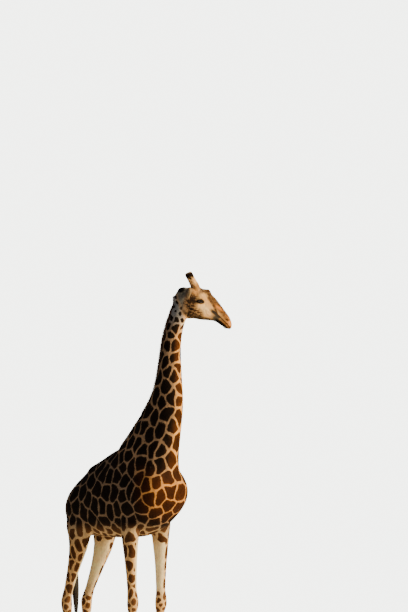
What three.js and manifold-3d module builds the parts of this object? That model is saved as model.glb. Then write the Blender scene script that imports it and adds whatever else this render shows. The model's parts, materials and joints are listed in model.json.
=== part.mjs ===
// A bull giraffe, life size, standing on four hooves with its head turned to its left.
// Units are millimetres: +X runs forward along the trunk, +Y to the animal's left and +Z up.
// Heights are above the floor, and X is first measured from the withers; the last lines move the
// origin to the middle of the floor under the whole animal.
//
// The flesh is lofted whole from named sizes and then parted by thin cuts. Horns, ears, eyes,
// mane, tail and hooves are solids of their own, each seated in a socket with a little clearance.

import * as THREE from "three";
import Module from "manifold-3d";

const GAP = 0.3; // clearance between neighbouring solids
const LEFT = 1;
const RIGHT = -1;

// ------------------------------------------------------------ sizes of the trunk

// The top and bottom lines and the half width of the barrel, each as [forward, value] stations.
const TRUNK = {
  rear: -905,
  front: 1050,
  top: [[-905, 2290], [-870, 2410], [-800, 2520], [-700, 2615], [-540, 2725], [-350, 2830], [-150, 2925], [0, 2985],
    [200, 3020], [450, 3000], [700, 2920], [880, 2830], [980, 2740], [1050, 2590]],
  bottom: [[-905, 2150], [-870, 2050], [-800, 1970], [-620, 1910], [-350, 1890], [0, 1875], [300, 1880], [520, 1905],
    [720, 1990], [870, 2110], [980, 2250], [1050, 2400]],
  width: [[-905, 95], [-870, 185], [-780, 280], [-620, 335], [-350, 372], [-50, 390], [250, 370], [480, 340],
    [700, 325], [860, 315], [980, 245], [1050, 130]],
  widest: 0.46, // share of the depth, from below, where the barrel is widest
  square: [1.9, 2.2],
  sides: 22,
  rings: 20,
};
// Muscle and bone that stand out on both flanks: where, how far they reach and how far they push.
const TRUNK_SWELLINGS = [
  { at: [330, 190, 2860], reach: [150, 200, 210], push: [0, 24, 8] }, // top of the shoulder blade
  { at: [890, 190, 2440], reach: [200, 190, 210], push: [30, 26, 0] }, // point of the shoulder
  { at: [600, 320, 2280], reach: [230, 220, 230], push: [0, 40, 0] }, // upper arm
  { at: [-600, 300, 2330], reach: [230, 260, 250], push: [0, 20, 0] }, // haunch
  { at: [-330, 230, 2720], reach: [120, 150, 120], push: [0, 22, 8] }, // point of the hip
];

// ------------------------------------------------------------- sizes of the neck

// Half depth towards the throat (over) and the mane (under), half width, and turn of each section.
const NECK = [
  { at: [330, 0, 2450], over: 610, under: 560, width: 300, yaw: 0 },
  { at: [450, 0, 2730], over: 640, under: 490, width: 318, yaw: 0 },
  { at: [590, 0, 3010], over: 500, under: 388, width: 262, yaw: 0 },
  { at: [735, 0, 3270], over: 385, under: 305, width: 202, yaw: 3 },
  { at: [845, 5, 3530], over: 292, under: 210, width: 168, yaw: 8 },
  { at: [895, 15, 3800], over: 210, under: 140, width: 140, yaw: 18 },
  { at: [930, 30, 4080], over: 146, under: 118, width: 120, yaw: 30 },
  { at: [968, 52, 4360], over: 108, under: 110, width: 104, yaw: 42 },
  { at: [1020, 85, 4570], over: 96, under: 104, width: 96, yaw: 52 },
  { at: [1072, 125, 4730], over: 114, under: 122, width: 96, yaw: 58 },
  { at: [1110, 190, 4810], over: 110, under: 122, width: 90, yaw: 60 },
];
// The mane stands on the back of the neck between two places along it, given as shares of its length.
const MANE = {
  from: 0.345,
  to: 0.965,
  height: [[0.345, 14], [0.37, 50], [0.6, 48], [0.88, 42], [0.965, 14]],
  halfWidth: 15,
  sunk: 22,
  sides: 6,
  rings: 16,
};

// ------------------------------------------------------------- sizes of the legs

// Each station is [height, forward, sideways, half depth before, half depth behind, half width].
const FORELEG = [
  [2330, 560, 190, 190, 190, 110],
  [2080, 500, 232, 165, 175, 104],
  [1900, 492, 243, 132, 142, 92],
  [1600, 502, 242, 92, 96, 72],
  [1250, 514, 236, 66, 70, 58],
  [1130, 522, 234, 80, 74, 70],
  [1050, 522, 233, 82, 78, 72],
  [950, 514, 232, 58, 62, 54],
  [650, 508, 229, 46, 52, 43],
  [400, 506, 227, 48, 56, 46],
  [300, 508, 226, 62, 78, 62],
  [215, 538, 225, 56, 60, 58],
  [130, 575, 224, 78, 74, 74],
];
const HINDLEG = [
  [2330, -600, 165, 235, 235, 130],
  [2080, -600, 205, 225, 235, 128],
  [1870, -590, 218, 175, 185, 112],
  [1660, -655, 220, 118, 128, 88],
  [1450, -745, 218, 88, 92, 68],
  [1220, -845, 214, 66, 78, 52],
  [1090, -890, 212, 78, 92, 62],
  [1010, -893, 211, 80, 82, 62],
  [890, -882, 210, 62, 62, 52],
  [620, -868, 208, 46, 52, 43],
  [400, -857, 206, 48, 56, 46],
  [290, -852, 205, 62, 76, 61],
  [210, -824, 204, 56, 58, 57],
  [130, -788, 203, 76, 72, 72],
];
const LEG_MESH = { sides: 10, rings: 21, square: [2.1, 2.1] };
const KNEE = 1090; // height of the knee
const HOCK = 1050; // height of the hock
// How far each hoof stands before (+) or behind (-) its place in a square stance.
const STRIDE = { fore: { [LEFT]: -40, [RIGHT]: 10 }, hind: { [LEFT]: -160, [RIGHT]: 90 } };
// A cloven hoof; sole and crown give its half length before and behind.
const HOOF_SIZE = { height: 150, sole: [158, 128], crown: [88, 84], width: 96, crownWidth: 80, lean: 30, cleft: 13 };

// ------------------------------------------------------------- sizes of the head

// The head has a frame of its own: its origin lies midway between the eyes, +X runs to the muzzle,
// +Y to the animal's left and +Z out of the forehead. Pitch is how far the muzzle hangs.
const HEAD = { at: [1180, 318, 4790], yaw: 60, pitch: 38 };
const SKULL = {
  back: -300,
  front: 496,
  top: [[-300, -70], [-270, -25], [-224, 50], [-160, 92], [-100, 118], [-40, 138], [30, 150], [100, 148], [200, 126],
    [300, 100], [378, 80], [430, 56], [470, 24], [496, -14]],
  bottom: [[-300, -190], [-200, -258], [-100, -286], [-20, -284], [20, -258], [60, -222], [100, -202], [157, -168], [230, -118], [300, -84],
    [367, -76], [430, -70], [470, -58], [496, -38]],
  width: [[-300, 62], [-250, 92], [-180, 104], [-100, 112], [-20, 116], [40, 108], [100, 90], [170, 76], [250, 66],
    [320, 60], [380, 60], [430, 58], [470, 46], [496, 22]],
  widest: [[-300, -115], [-200, 0], [0, 10], [200, 0], [380, -8], [496, -28]],
  square: [2.15, 1.9],
  sides: 22,
  rings: 25,
};
const SKULL_SWELLINGS = [
  { at: [-14, 0, 136], reach: [50, 50, 90], push: [4, 0, 38] }, // knob on the forehead
  { at: [-284, 42, -24], reach: [36, 40, 44], push: [-28, 6, 34] }, // knobs at the back of the skull
  { at: [-16, 112, 16], reach: [66, 60, 36], push: [0, 24, 4] }, // brow
  { at: [-16, 112, -66], reach: [70, 60, 34], push: [0, 12, 0] }, // rim under the eye
  { at: [-16, 118, -25], reach: [46, 60, 26], push: [0, -14, 0] }, // hollow that holds the eye
  { at: [-130, 62, 104], reach: [70, 44, 60], push: [-14, 6, 26] }, // foot of the horn
  { at: [20, 96, -110], reach: [130, 90, 80], push: [0, 16, 0] }, // cheek
  { at: [400, 50, 30], reach: [60, 40, 40], push: [0, 8, 6] }, // nostril pad
];
const EYE_SIZE = { at: [-16, 114, -25], radius: 31 };
// A horn with a wide foot and a blunt top that leans back and outwards.
const OSSICONE = [
  { at: [-122, 56, 56], over: 54, under: 56, width: 52 },
  { at: [-156, 61, 98], over: 50, under: 52, width: 48 },
  { at: [-210, 69, 122], over: 38, under: 42, width: 39 },
  { at: [-266, 78, 146], over: 32, under: 33, width: 33 },
  { at: [-314, 85, 168], over: 32, under: 32, width: 33 },
  { at: [-336, 88, 179], over: 25, under: 25, width: 26 },
  { at: [-346, 89, 184], over: 9, under: 9, width: 10 },
];
// A leaf-shaped ear, hollow on its front face; aim is its direction from root to tip.
const EAR = {
  root: [-200, 92, 6],
  aim: [36, 155, -120],
  length: 212,
  sunk: 26,
  halfWidth: [[0, 24], [0.15, 30], [0.42, 47], [0.7, 37], [0.92, 14], [1, 4]],
  thick: [[0, 44], [0.15, 30], [0.35, 13], [1, 4]],
  hollow: 22,
  steps: 8,
  across: 5,
};

// ------------------------------------------------------------- sizes of the tail

const TAIL = [
  { at: [-870, 0, 2440], over: 50, under: 50, width: 44 },
  { at: [-940, 0, 2420], over: 42, under: 42, width: 40 },
  { at: [-995, 4, 2330], over: 32, under: 32, width: 32 },
  { at: [-1012, 8, 2180], over: 24, under: 24, width: 25 },
  { at: [-1006, 14, 1900], over: 19, under: 19, width: 19 },
  { at: [-992, 20, 1620], over: 17, under: 17, width: 17 },
];
const TAIL_TUFT = [
  { at: [-992, 20, 1619.7], over: 17, under: 17, width: 17 },
  { at: [-988, 22, 1540], over: 36, under: 36, width: 33 },
  { at: [-980, 25, 1380], over: 52, under: 54, width: 44 },
  { at: [-972, 28, 1180], over: 48, under: 50, width: 40 },
  { at: [-966, 30, 980], over: 30, under: 32, width: 26 },
  { at: [-962, 31, 840], over: 7, under: 7, width: 6 },
];

// ---------------------------------------------------------------- materials

const finish = (color, roughness) => new THREE.MeshStandardMaterial({ color, roughness, metalness: 0 });

const COAT = finish(0x4a2f1e, 0.85);
const FACE = finish(0xb08a62, 0.85);
const LEG = finish(0x8a6a48, 0.85);
const MANE_HAIR = finish(0x3a2216, 0.9);
const HORN_HAIR = finish(0x7a5a3c, 0.85);
const TAIL_HAIR = finish(0x120d0a, 0.8);
const HORN = finish(0x4b4038, 0.6);
const EYE = finish(0x120b08, 0.15);

// ------------------------------------------------------------ lofting tools

const { degToRad, lerp, clamp } = THREE.MathUtils;
const vector = (xyz) => new THREE.Vector3(...xyz);

// A smooth curve through [position, value] stations that never overshoots them.
function profile(stations) {
  const xs = stations.map(([x]) => x);
  const ys = stations.map(([, y]) => y);
  const last = xs.length - 1;
  const rise = xs.slice(1).map((x, i) => (ys[i + 1] - ys[i]) / (x - xs[i]));
  const slope = ys.map((_, i) => {
    if (i === 0 || i === last) return rise[Math.min(i, last - 1)];
    const [a, b] = [rise[i - 1], rise[i]];
    return a * b <= 0 ? 0 : (2 * a * b) / (a + b);
  });
  return (x) => {
    const at = clamp(x, xs[0], xs[last]);
    const i = Math.min(Math.max(xs.findIndex((v) => v >= at) - 1, 0), last - 1);
    const width = xs[i + 1] - xs[i];
    const t = (at - xs[i]) / width;
    const s = 1 - t;
    return (
      ys[i] * (1 + 2 * t) * s * s +
      ys[i + 1] * (3 - 2 * t) * t * t +
      width * t * s * (slope[i] * s - slope[i + 1] * t)
    );
  };
}

// One closed section: an oval that may differ above and below its centre, squarer as `square` grows.
function ring({ centre, across, up, width, over, under, square = [2, 2] }, sides) {
  return Array.from({ length: sides }, (_, k) => {
    const turn = (2 * Math.PI * k) / sides;
    const [c, s] = [Math.cos(turn), Math.sin(turn)];
    const power = 2 / (s >= 0 ? square[0] : square[1]);
    const sideways = width * Math.sign(c) * Math.abs(c) ** power;
    const height = (s >= 0 ? over : under) * Math.sign(s) * Math.abs(s) ** power;
    return centre.clone().addScaledVector(across, sideways).addScaledVector(up, height);
  });
}

// A closed skin over a row of rings, with a flat fan on each end.
function loft(rings) {
  const sides = rings[0].length;
  const middle = (points) => points.reduce((sum, p) => sum.add(p), new THREE.Vector3()).divideScalar(points.length);
  const points = [...rings.flat(), middle(rings[0]), middle(rings.at(-1))];
  const [first, last] = [points.length - 2, points.length - 1];
  const end = (rings.length - 1) * sides;
  const index = [];
  for (let k = 0; k < sides; k++) {
    const next = (k + 1) % sides;
    for (let r = 0; r + 1 < rings.length; r++) {
      const [a, b, c, d] = [r * sides + k, r * sides + next, (r + 1) * sides + k, (r + 1) * sides + next];
      index.push(a, b, d, a, d, c);
    }
    index.push(first, next, k, last, end + k, end + next);
  }
  let volume = 0;
  for (let i = 0; i < index.length; i += 3) {
    const [a, b, c] = [points[index[i]], points[index[i + 1]], points[index[i + 2]]];
    volume += a.dot(b.clone().cross(c));
  }
  if (volume < 0) index.reverse();
  return new THREE.BufferGeometry().setFromPoints(points).setIndex(index);
}

// A limb runs along a smooth line through stations of { at, width, over, under, yaw }, from its
// lower end upwards. `over` faces forward and yaw turns the section. This gives one place on it.
function limbPlaces(stations) {
  const line = new THREE.CatmullRomCurve3(stations.map(({ at }) => vector(at)), false, "centripetal");
  const size = (key) => profile(stations.map((station, i) => [i, station[key] ?? 0]));
  const [width, over, under, yaw] = [size("width"), size("over"), size("under"), size("yaw")];
  return (t) => {
    const s = t * (stations.length - 1);
    const turn = degToRad(yaw(s));
    const along = line.getTangent(t);
    const leftward = new THREE.Vector3(-Math.sin(turn), Math.cos(turn), 0);
    const up = new THREE.Vector3().crossVectors(leftward, along).normalize();
    const across = new THREE.Vector3().crossVectors(along, up).normalize();
    return { centre: line.getPoint(t), along, across, up, width: width(s), over: over(s), under: under(s) };
  };
}

// The closed limb, swollen by `grow` all round and at both ends where it is wanted as a socket.
function limb(stations, { sides, rings, grow = 0, square = [2, 2] }) {
  const place = limbPlaces(stations);
  return loft(
    Array.from({ length: rings + 1 }, (_, i) => {
      const { centre, along, across, up, width, over, under } = place(i / rings);
      const past = i === 0 ? -grow : i === rings ? grow : 0;
      centre.addScaledVector(along, past);
      return ring(
        { centre, across, up, width: width + grow, over: over + grow, under: under + grow, square },
        sides,
      );
    }),
  );
}

// Pushes out the places near each swelling, on both sides of the middle plane alike.
function swell(geometry, swellings) {
  const points = geometry.attributes.position;
  const point = new THREE.Vector3();
  for (let i = 0; i < points.count; i++) {
    point.fromBufferAttribute(points, i);
    const side = Math.sign(point.y);
    const folded = new THREE.Vector3(point.x, Math.abs(point.y), point.z);
    for (const { at, reach, push } of swellings) {
      const away = folded.clone().sub(vector(at)).divide(vector(reach));
      const share = Math.exp(-away.lengthSq());
      point.add(new THREE.Vector3(push[0], push[1] * side, push[2]).multiplyScalar(share));
    }
    points.setXYZ(i, point.x, point.y, point.z);
  }
  return geometry;
}

// ------------------------------------------------------------ solid algebra

const wasm = await Module();
wasm.setup();

function solid(geometry) {
  const { position } = geometry.attributes;
  const mesh = new wasm.Mesh({
    numProp: 3,
    vertProperties: new Float32Array(position.array),
    triVerts: new Uint32Array(geometry.index ? geometry.index.array : position.count),
  });
  if (!geometry.index) mesh.triVerts.forEach((_, i, all) => (all[i] = i));
  mesh.merge();
  return new wasm.Manifold(mesh);
}

function geometryOf(body) {
  const { numProp, numVert, vertProperties, triVerts } = body.getMesh();
  const xyz = new Float32Array(numVert * 3);
  for (let i = 0; i < numVert; i++) xyz.set(vertProperties.subarray(i * numProp, i * numProp + 3), i * 3);
  return new THREE.BufferGeometry()
    .setAttribute("position", new THREE.BufferAttribute(xyz, 3))
    .setIndex(new THREE.BufferAttribute(triVerts, 1));
}

const joined = (bodies) => bodies.reduce((sum, body) => sum.add(body));
const without = (body, others) => largest(others.reduce((rest, other) => rest.subtract(other), body));
const largest = (body) => body.decompose().sort((a, b) => b.volume() - a.volume())[0];

// Keeps what lies before a plane { at, normal }, with `margin` more of it.
function before(body, { at, normal }, margin) {
  const n = vector(normal).normalize();
  return body.trimByPlane(n.toArray(), n.dot(vector(at)) - margin);
}

// Takes the part of a body that lies before every one of the planes; the cut is GAP wide.
const EVERYTHING = solid(new THREE.BoxGeometry(8000, 8000, 14000));

function takenOut(body, planes) {
  const region = (margin) => planes.reduce((box, plane) => before(box, plane, margin), EVERYTHING);
  return [largest(body.intersect(region(-GAP / 2))), largest(body.subtract(region(GAP / 2)))];
}

// -------------------------------------------------------------------- trunk

function trunk() {
  const [top, bottom, width] = [profile(TRUNK.top), profile(TRUNK.bottom), profile(TRUNK.width)];
  const rings = Array.from({ length: TRUNK.rings + 1 }, (_, i) => {
    const even = i / TRUNK.rings;
    const eased = 0.5 - 0.5 * Math.cos(Math.PI * even);
    const x = lerp(TRUNK.rear, TRUNK.front, (even + eased) / 2);
    const [high, low] = [top(x), bottom(x)];
    const z = lerp(low, high, TRUNK.widest);
    return ring(
      {
        centre: vector([x, 0, z]),
        across: vector([0, 1, 0]),
        up: vector([0, 0, 1]),
        width: width(x),
        over: high - z,
        under: z - low,
        square: TRUNK.square,
      },
      TRUNK.sides,
    );
  });
  return swell(loft(rings), TRUNK_SWELLINGS);
}

// --------------------------------------------------------------------- neck

const neck = () => limb(NECK, { sides: 18, rings: 20, square: [2.2, 1.9] });

// A ridge of stiff hair sunk a little into the back of the neck.
function mane(grow = 0) {
  const place = limbPlaces(NECK);
  const height = profile(MANE.height);
  const rings = Array.from({ length: MANE.rings + 1 }, (_, i) => {
    const t = lerp(MANE.from, MANE.to, i / MANE.rings);
    const { centre, along, across, up, under } = place(t);
    const half = (MANE.sunk + height(t)) / 2;
    const past = i === 0 ? -grow : i === MANE.rings ? grow : 0;
    centre.addScaledVector(up, MANE.sunk - under - half).addScaledVector(along, past);
    return ring({ centre, across, up, width: MANE.halfWidth + grow, over: half + grow, under: half + grow }, MANE.sides);
  });
  return loft(rings);
}

// --------------------------------------------------------------------- legs

function leg(table, side, stride) {
  const [top] = table[0];
  const stations = table.map(([z, x, y, over, under, width]) => ({
    at: [x + (stride * (top - z)) / top, side * y, z],
    over,
    under,
    width,
  }));
  return limb(stations.reverse(), LEG_MESH);
}

// Where a hoof's middle stands: under the last station of its leg.
function hoofPlace(table, side, stride) {
  const [z, x, y] = table.at(-1);
  const [top] = table[0];
  return [x + (stride * (top - z)) / top + HOOF_SIZE.lean, side * y, 0];
}

// A cloven hoof, longer before than behind, with its sole on the floor and a cleft from the toe.
function hoof(place, grow = 0) {
  const { height, sole, crown, width, crownWidth, lean, cleft } = HOOF_SIZE;
  const steps = 3;
  const rings = Array.from({ length: steps + 1 }, (_, i) => {
    const t = i / steps;
    const size = (low, high) => lerp(low, high, t ** 0.8) + grow;
    return ring(
      {
        centre: vector([-lean * t, 0, height * t + (i === steps ? grow : 0)]),
        across: vector([0, 1, 0]),
        up: vector([1, 0, 0]),
        width: size(width, crownWidth),
        over: size(sole[0], crown[0]),
        under: size(sole[1], crown[1]),
        square: [2.3, 2.5],
      },
      14,
    );
  });
  const whole = solid(loft(rings).translate(...place));
  if (grow) return whole;
  const past = 40;
  const split = new THREE.BoxGeometry(sole[0] + past, cleft, height * 2).translate((sole[0] + past) / 2, 0, 0);
  return whole.subtract(solid(split.translate(...place)));
}

// --------------------------------------------------------------------- head

const headFrame = new THREE.Matrix4();
{
  const [yaw, pitch] = [degToRad(HEAD.yaw), degToRad(HEAD.pitch)];
  const muzzle = vector([Math.cos(yaw) * Math.cos(pitch), Math.sin(yaw) * Math.cos(pitch), -Math.sin(pitch)]);
  const left = vector([-Math.sin(yaw), Math.cos(yaw), 0]);
  headFrame.makeBasis(muzzle, left, muzzle.clone().cross(left)).setPosition(...HEAD.at);
}
const onHead = (geometry) => solid(geometry.applyMatrix4(headFrame));
const headPlane = (at, normal) => ({
  at: vector(at).applyMatrix4(headFrame).toArray(),
  normal: vector(normal).transformDirection(headFrame).toArray(),
});

function skull() {
  const [top, bottom] = [profile(SKULL.top), profile(SKULL.bottom)];
  const [width, widest] = [profile(SKULL.width), profile(SKULL.widest)];
  const rings = Array.from({ length: SKULL.rings + 1 }, (_, i) => {
    const x = lerp(SKULL.back, SKULL.front, 1 - (1 - i / SKULL.rings) ** 1.15);
    const z = widest(x);
    return ring(
      {
        centre: vector([x, 0, z]),
        across: vector([0, 1, 0]),
        up: vector([0, 0, 1]),
        width: width(x),
        over: top(x) - z,
        under: z - bottom(x),
        square: SKULL.square,
      },
      SKULL.sides,
    );
  });
  return swell(loft(rings), SKULL_SWELLINGS);
}

const mirrored = ([x, y, z], side) => [x, y * side, z];

function eye(side, grow = 0) {
  const [x, y, z] = mirrored(EYE_SIZE.at, side);
  return new THREE.SphereGeometry(EYE_SIZE.radius + grow, 12, 8).translate(x, y, z);
}

function ossicone(side, grow = 0) {
  const stations = OSSICONE.map((station) => ({ ...station, at: mirrored(station.at, side) }));
  return limb(stations, { sides: 9, rings: 9, grow });
}

// The ear is lofted from its root to its tip; both faces of each section curl round the hollow.
function ear(side, grow = 0) {
  const along = vector(mirrored(EAR.aim, side)).normalize();
  const front = vector([1, 0, 0]).addScaledVector(along, -along.x).normalize();
  const across = along.clone().cross(front);
  const root = vector(mirrored(EAR.root, side)).addScaledVector(along, -EAR.sunk);
  const [halfWidth, thick] = [profile(EAR.halfWidth), profile(EAR.thick)];
  const length = EAR.length + EAR.sunk;
  const rings = Array.from({ length: EAR.steps + 1 }, (_, i) => {
    const t = i / EAR.steps;
    const past = i === 0 ? -grow : i === EAR.steps ? grow : 0;
    const centre = root.clone().addScaledVector(along, t * length + past);
    const depth = EAR.hollow * Math.sin(Math.PI * t) ** 0.7;
    const face = (sign) =>
      Array.from({ length: EAR.across + 1 }, (_, k) => {
        const u = sign * (1 - (2 * k) / EAR.across);
        const half = (thick(t) / 2) * (1 - 0.7 * u * u) + grow;
        const out = depth * (u * u - 0.5) + sign * half;
        return centre.clone().addScaledVector(across, (halfWidth(t) + grow) * u).addScaledVector(front, out);
      });
    return [...face(1), ...face(-1)];
  });
  return loft(rings);
}

// ------------------------------------------------------------------ parting

const animal = new THREE.Group();

function addNode(name, body, material) {
  const mesh = new THREE.Mesh(geometryOf(body), material);
  mesh.name = name;
  animal.add(mesh);
}

const SIDES = { left: LEFT, right: RIGHT };
const legKinds = [
  { name: "foreleg", table: FORELEG, stride: STRIDE.fore, joint: KNEE, from: 300, to: 790, inside: 100, slope: 1 },
  { name: "hindleg", table: HINDLEG, stride: STRIDE.hind, joint: HOCK, from: -1200, to: -330, inside: 90, slope: 1.3 },
];

let body = joined([
  solid(trunk()),
  solid(neck()),
  onHead(skull()),
  ...Object.values(SIDES).flatMap((side) =>
    legKinds.map(({ table, stride }) => solid(leg(table, side, stride[side]))),
  ),
]);

// The cut behind the head runs from the nape to the throat, the others across the neck.
let [head, neckUpper, neckLower] = [];
[head, body] = takenOut(body, [headPlane([-300, 0, -110], [152, 0, 240])]);
[neckUpper, body] = takenOut(body, [{ at: [905, 20, 3860], normal: [0.12, 0.05, 1] }]);
[neckLower, body] = takenOut(body, [{ at: [0, 0, 3000], normal: [0.3, 0, 1] }]);

// The jaw lies below the line of the mouth and below a line from its corner back to the throat.
const MOUTH_CORNER = [288, 0, -8];
let jaw;
[jaw, head] = takenOut(head, [headPlane(MOUTH_CORNER, [-0.137, 0, -1]), headPlane(MOUTH_CORNER, [0.5, 0, -1])]);

const maneSocket = solid(mane(GAP));
const horns = Object.values(SIDES).map((side) => onHead(ossicone(side, GAP)));
const eyes = Object.values(SIDES).map((side) => onHead(eye(side, GAP)));
const ears = Object.values(SIDES).map((side) => onHead(ear(side, 2 * GAP)));

addNode("head", without(head, [maneSocket, ...horns, ...eyes, ...ears]), FACE);
addNode("jaw", jaw, FACE);
addNode("neck_upper", without(neckUpper, [maneSocket, ...ears]), COAT);
addNode("neck_lower", without(neckLower, [maneSocket]), COAT);
addNode("mane", solid(mane()), MANE_HAIR);

// Each leg leaves the trunk by a cup-shaped cut that rises outwards from the armpit or the groin.
for (const [sideName, side] of Object.entries(SIDES)) {
  for (const { name, table, stride, joint, from, to, inside, slope } of legKinds) {
    const armpit = [0, side * inside, 1900];
    let limbBody;
    [limbBody, body] = takenOut(body, [
      { at: armpit, normal: [0, side, 0] },
      { at: armpit, normal: [0, side * slope, -1] },
      { at: [from, 0, 0], normal: [1, 0, 0] },
      { at: [to, 0, 0], normal: [-1, 0, 0] },
    ]);
    const place = hoofPlace(table, side, stride[side]);
    const [upper, lower] = takenOut(limbBody, [{ at: [0, 0, joint], normal: [0, 0, 1] }]);
    addNode(`${name}_${sideName}_upper`, upper, COAT);
    addNode(`${name}_${sideName}_lower`, without(lower, [hoof(place, GAP)]), LEG);
    addNode(`hoof_${name}_${sideName}`, hoof(place), HORN);
  }
}

const tailMesh = { sides: 7, rings: 10 };
addNode("trunk", without(body, [solid(limb([...TAIL].reverse(), { ...tailMesh, grow: GAP }))]), COAT);
addNode("tail", solid(limb([...TAIL].reverse(), tailMesh)), LEG);
addNode("tail_tuft", solid(limb([...TAIL_TUFT].reverse(), { sides: 8, rings: 10 })), TAIL_HAIR);

for (const [sideName, side] of Object.entries(SIDES)) {
  addNode(`ossicone_${sideName}`, onHead(ossicone(side)), HORN_HAIR);
  addNode(`ear_${sideName}`, onHead(ear(side)), FACE);
  addNode(`eye_${sideName}`, onHead(eye(side)), EYE);
}

// The origin is the middle of the floor under the whole animal.
const reach = new THREE.Box3().setFromObject(animal);
const middle = reach.getCenter(new THREE.Vector3());
animal.position.set(-middle.x, -middle.y, -reach.min.z);

export default animal;
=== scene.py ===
# %% [markdown]
# # A life-size bull giraffe, as a museum shows one
#
# This lesson dresses a plain, faceted giraffe with one smooth skin, its coat pattern, fur, mane,
# horns, ears, eyes and hooves. The plain model is loaded first. It fixes every size and place, and
# each piece made here stands exactly where a plain piece stood. All lengths are in metres: +X runs
# forward along the trunk, +Y to the animal's left and +Z up.

# %% Load the plain model
import math

import bmesh
import bpy
import numpy as np
from mathutils import Matrix, Vector
from mathutils.bvhtree import BVHTree
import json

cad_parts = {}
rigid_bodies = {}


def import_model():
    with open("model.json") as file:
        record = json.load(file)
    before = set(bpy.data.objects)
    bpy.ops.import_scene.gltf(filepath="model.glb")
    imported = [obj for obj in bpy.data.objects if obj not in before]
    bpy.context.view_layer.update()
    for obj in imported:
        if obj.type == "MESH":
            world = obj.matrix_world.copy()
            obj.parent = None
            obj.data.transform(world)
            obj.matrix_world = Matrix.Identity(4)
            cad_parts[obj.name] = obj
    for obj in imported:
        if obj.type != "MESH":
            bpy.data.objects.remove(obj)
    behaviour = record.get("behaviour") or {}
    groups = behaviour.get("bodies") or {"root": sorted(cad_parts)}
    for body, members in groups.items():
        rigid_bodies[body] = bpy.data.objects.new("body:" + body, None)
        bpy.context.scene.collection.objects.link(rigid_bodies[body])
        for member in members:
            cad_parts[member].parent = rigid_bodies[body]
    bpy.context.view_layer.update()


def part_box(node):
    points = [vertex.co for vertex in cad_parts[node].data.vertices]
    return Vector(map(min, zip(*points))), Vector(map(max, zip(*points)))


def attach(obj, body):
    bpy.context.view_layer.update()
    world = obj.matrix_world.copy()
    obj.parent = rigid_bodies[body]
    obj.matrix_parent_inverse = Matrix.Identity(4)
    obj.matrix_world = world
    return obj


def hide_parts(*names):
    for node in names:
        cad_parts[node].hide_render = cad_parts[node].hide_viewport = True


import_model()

MM = 0.001
norm = np.linalg.norm
seeded = np.random.default_rng
RANDOM = seeded(23)
stage = bpy.context.scene.collection.objects
SIDES = {"left": 1, "right": -1}


def unit(vectors):
    """Give each vector of an array the length 1."""
    return vectors / np.maximum(norm(vectors, axis=-1, keepdims=True), 1e-9)


def ease(low, high, values):
    """Rise smoothly from 0 at low to 1 at high."""
    share = np.clip((values - low) / (high - low), 0, 1)
    return share * share * (3 - 2 * share)


def blend(first, second, share):
    """Mix two values or rows of values; share may be one number for each row."""
    share = np.asarray(share)
    if np.ndim(first) > share.ndim or np.ndim(second) > share.ndim:
        share = share[..., None]
    return first * (1 - share) + second * share


# %% [markdown]
# Two places carry all the others. Lengths along the trunk are counted from the withers, the high
# point between the shoulders. The head, turned to the left and hanging a little, has a frame of its
# own: x runs to the muzzle, y to the animal's left and z out of the forehead, from a zero between
# the eyes. Both come from the plain model, so they can't drift.

# %% Find the withers and the head
RUMP_BEHIND_WITHERS = 0.905
HEAD_YAW = math.radians(60)
HEAD_PITCH = math.radians(38)
EYE_AT = np.array([-16, 114, -25]) * MM


def node_middle(name):
    """Middle of a plain piece's box."""
    low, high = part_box(name)
    return np.array((low + high) / 2)


withers = np.array([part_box("trunk")[0].x + RUMP_BEHIND_WITHERS, node_middle("trunk")[1], 0])
muzzleward = np.array([
    math.cos(HEAD_YAW) * math.cos(HEAD_PITCH),
    math.sin(HEAD_YAW) * math.cos(HEAD_PITCH),
    -math.sin(HEAD_PITCH),
])
leftward = np.array([-math.sin(HEAD_YAW), math.cos(HEAD_YAW), 0])
foreheadward = np.cross(muzzleward, leftward)
HEAD_AXES = np.array([muzzleward, leftward, foreheadward])
between_eyes = (node_middle("eye_left") + node_middle("eye_right")) / 2
head_zero = between_eyes - EYE_AT[0] * muzzleward - EYE_AT[2] * foreheadward


def to_head(points):
    """Turn places in the room into places on the head, in millimetres."""
    return (points - head_zero) @ HEAD_AXES.T / MM


def from_head(points):
    """Turn places on the head, in millimetres, into places in the room."""
    return np.asarray(points) * MM @ HEAD_AXES + head_zero


def from_withers(points):
    """Turn places counted from the withers, in millimetres, into places in the room."""
    return np.asarray(points) * MM + withers


print("withers at", withers.round(3), "and head at", head_zero.round(3))

# %% [markdown]
# A long lens far away flattens an animal as tall as this one, so that its knees and its horns are
# seen from nearly the same height. The camera stands 50 m off and 2 m up, and is tilted up until the
# picture ends just below the knees.

# %% Set up the camera
CAMERA_DISTANCE = 50.0
CAMERA_HEIGHT = 2.0
CAMERA_AZIMUTH = math.radians(52)  # from the trunk's line round to the camera's right-hand side
IMAGE_SIZE = (408, 612)
PIXELS_PER_METRE = 80.0
WITHERS_PIXEL = 121.4  # from the picture's left edge
HORIZON_PIXEL = 528.0  # from its top edge
SENSOR = 36.0

camera_right = Vector((math.cos(CAMERA_AZIMUTH), math.sin(CAMERA_AZIMUTH), 0))
camera_ahead = Vector((-camera_right.y, camera_right.x, 0))
focal_pixels = CAMERA_DISTANCE * PIXELS_PER_METRE
turn = math.atan((IMAGE_SIZE[0] / 2 - WITHERS_PIXEL) / focal_pixels)
tilt = math.atan((HORIZON_PIXEL - IMAGE_SIZE[1] / 2) / focal_pixels)

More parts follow.
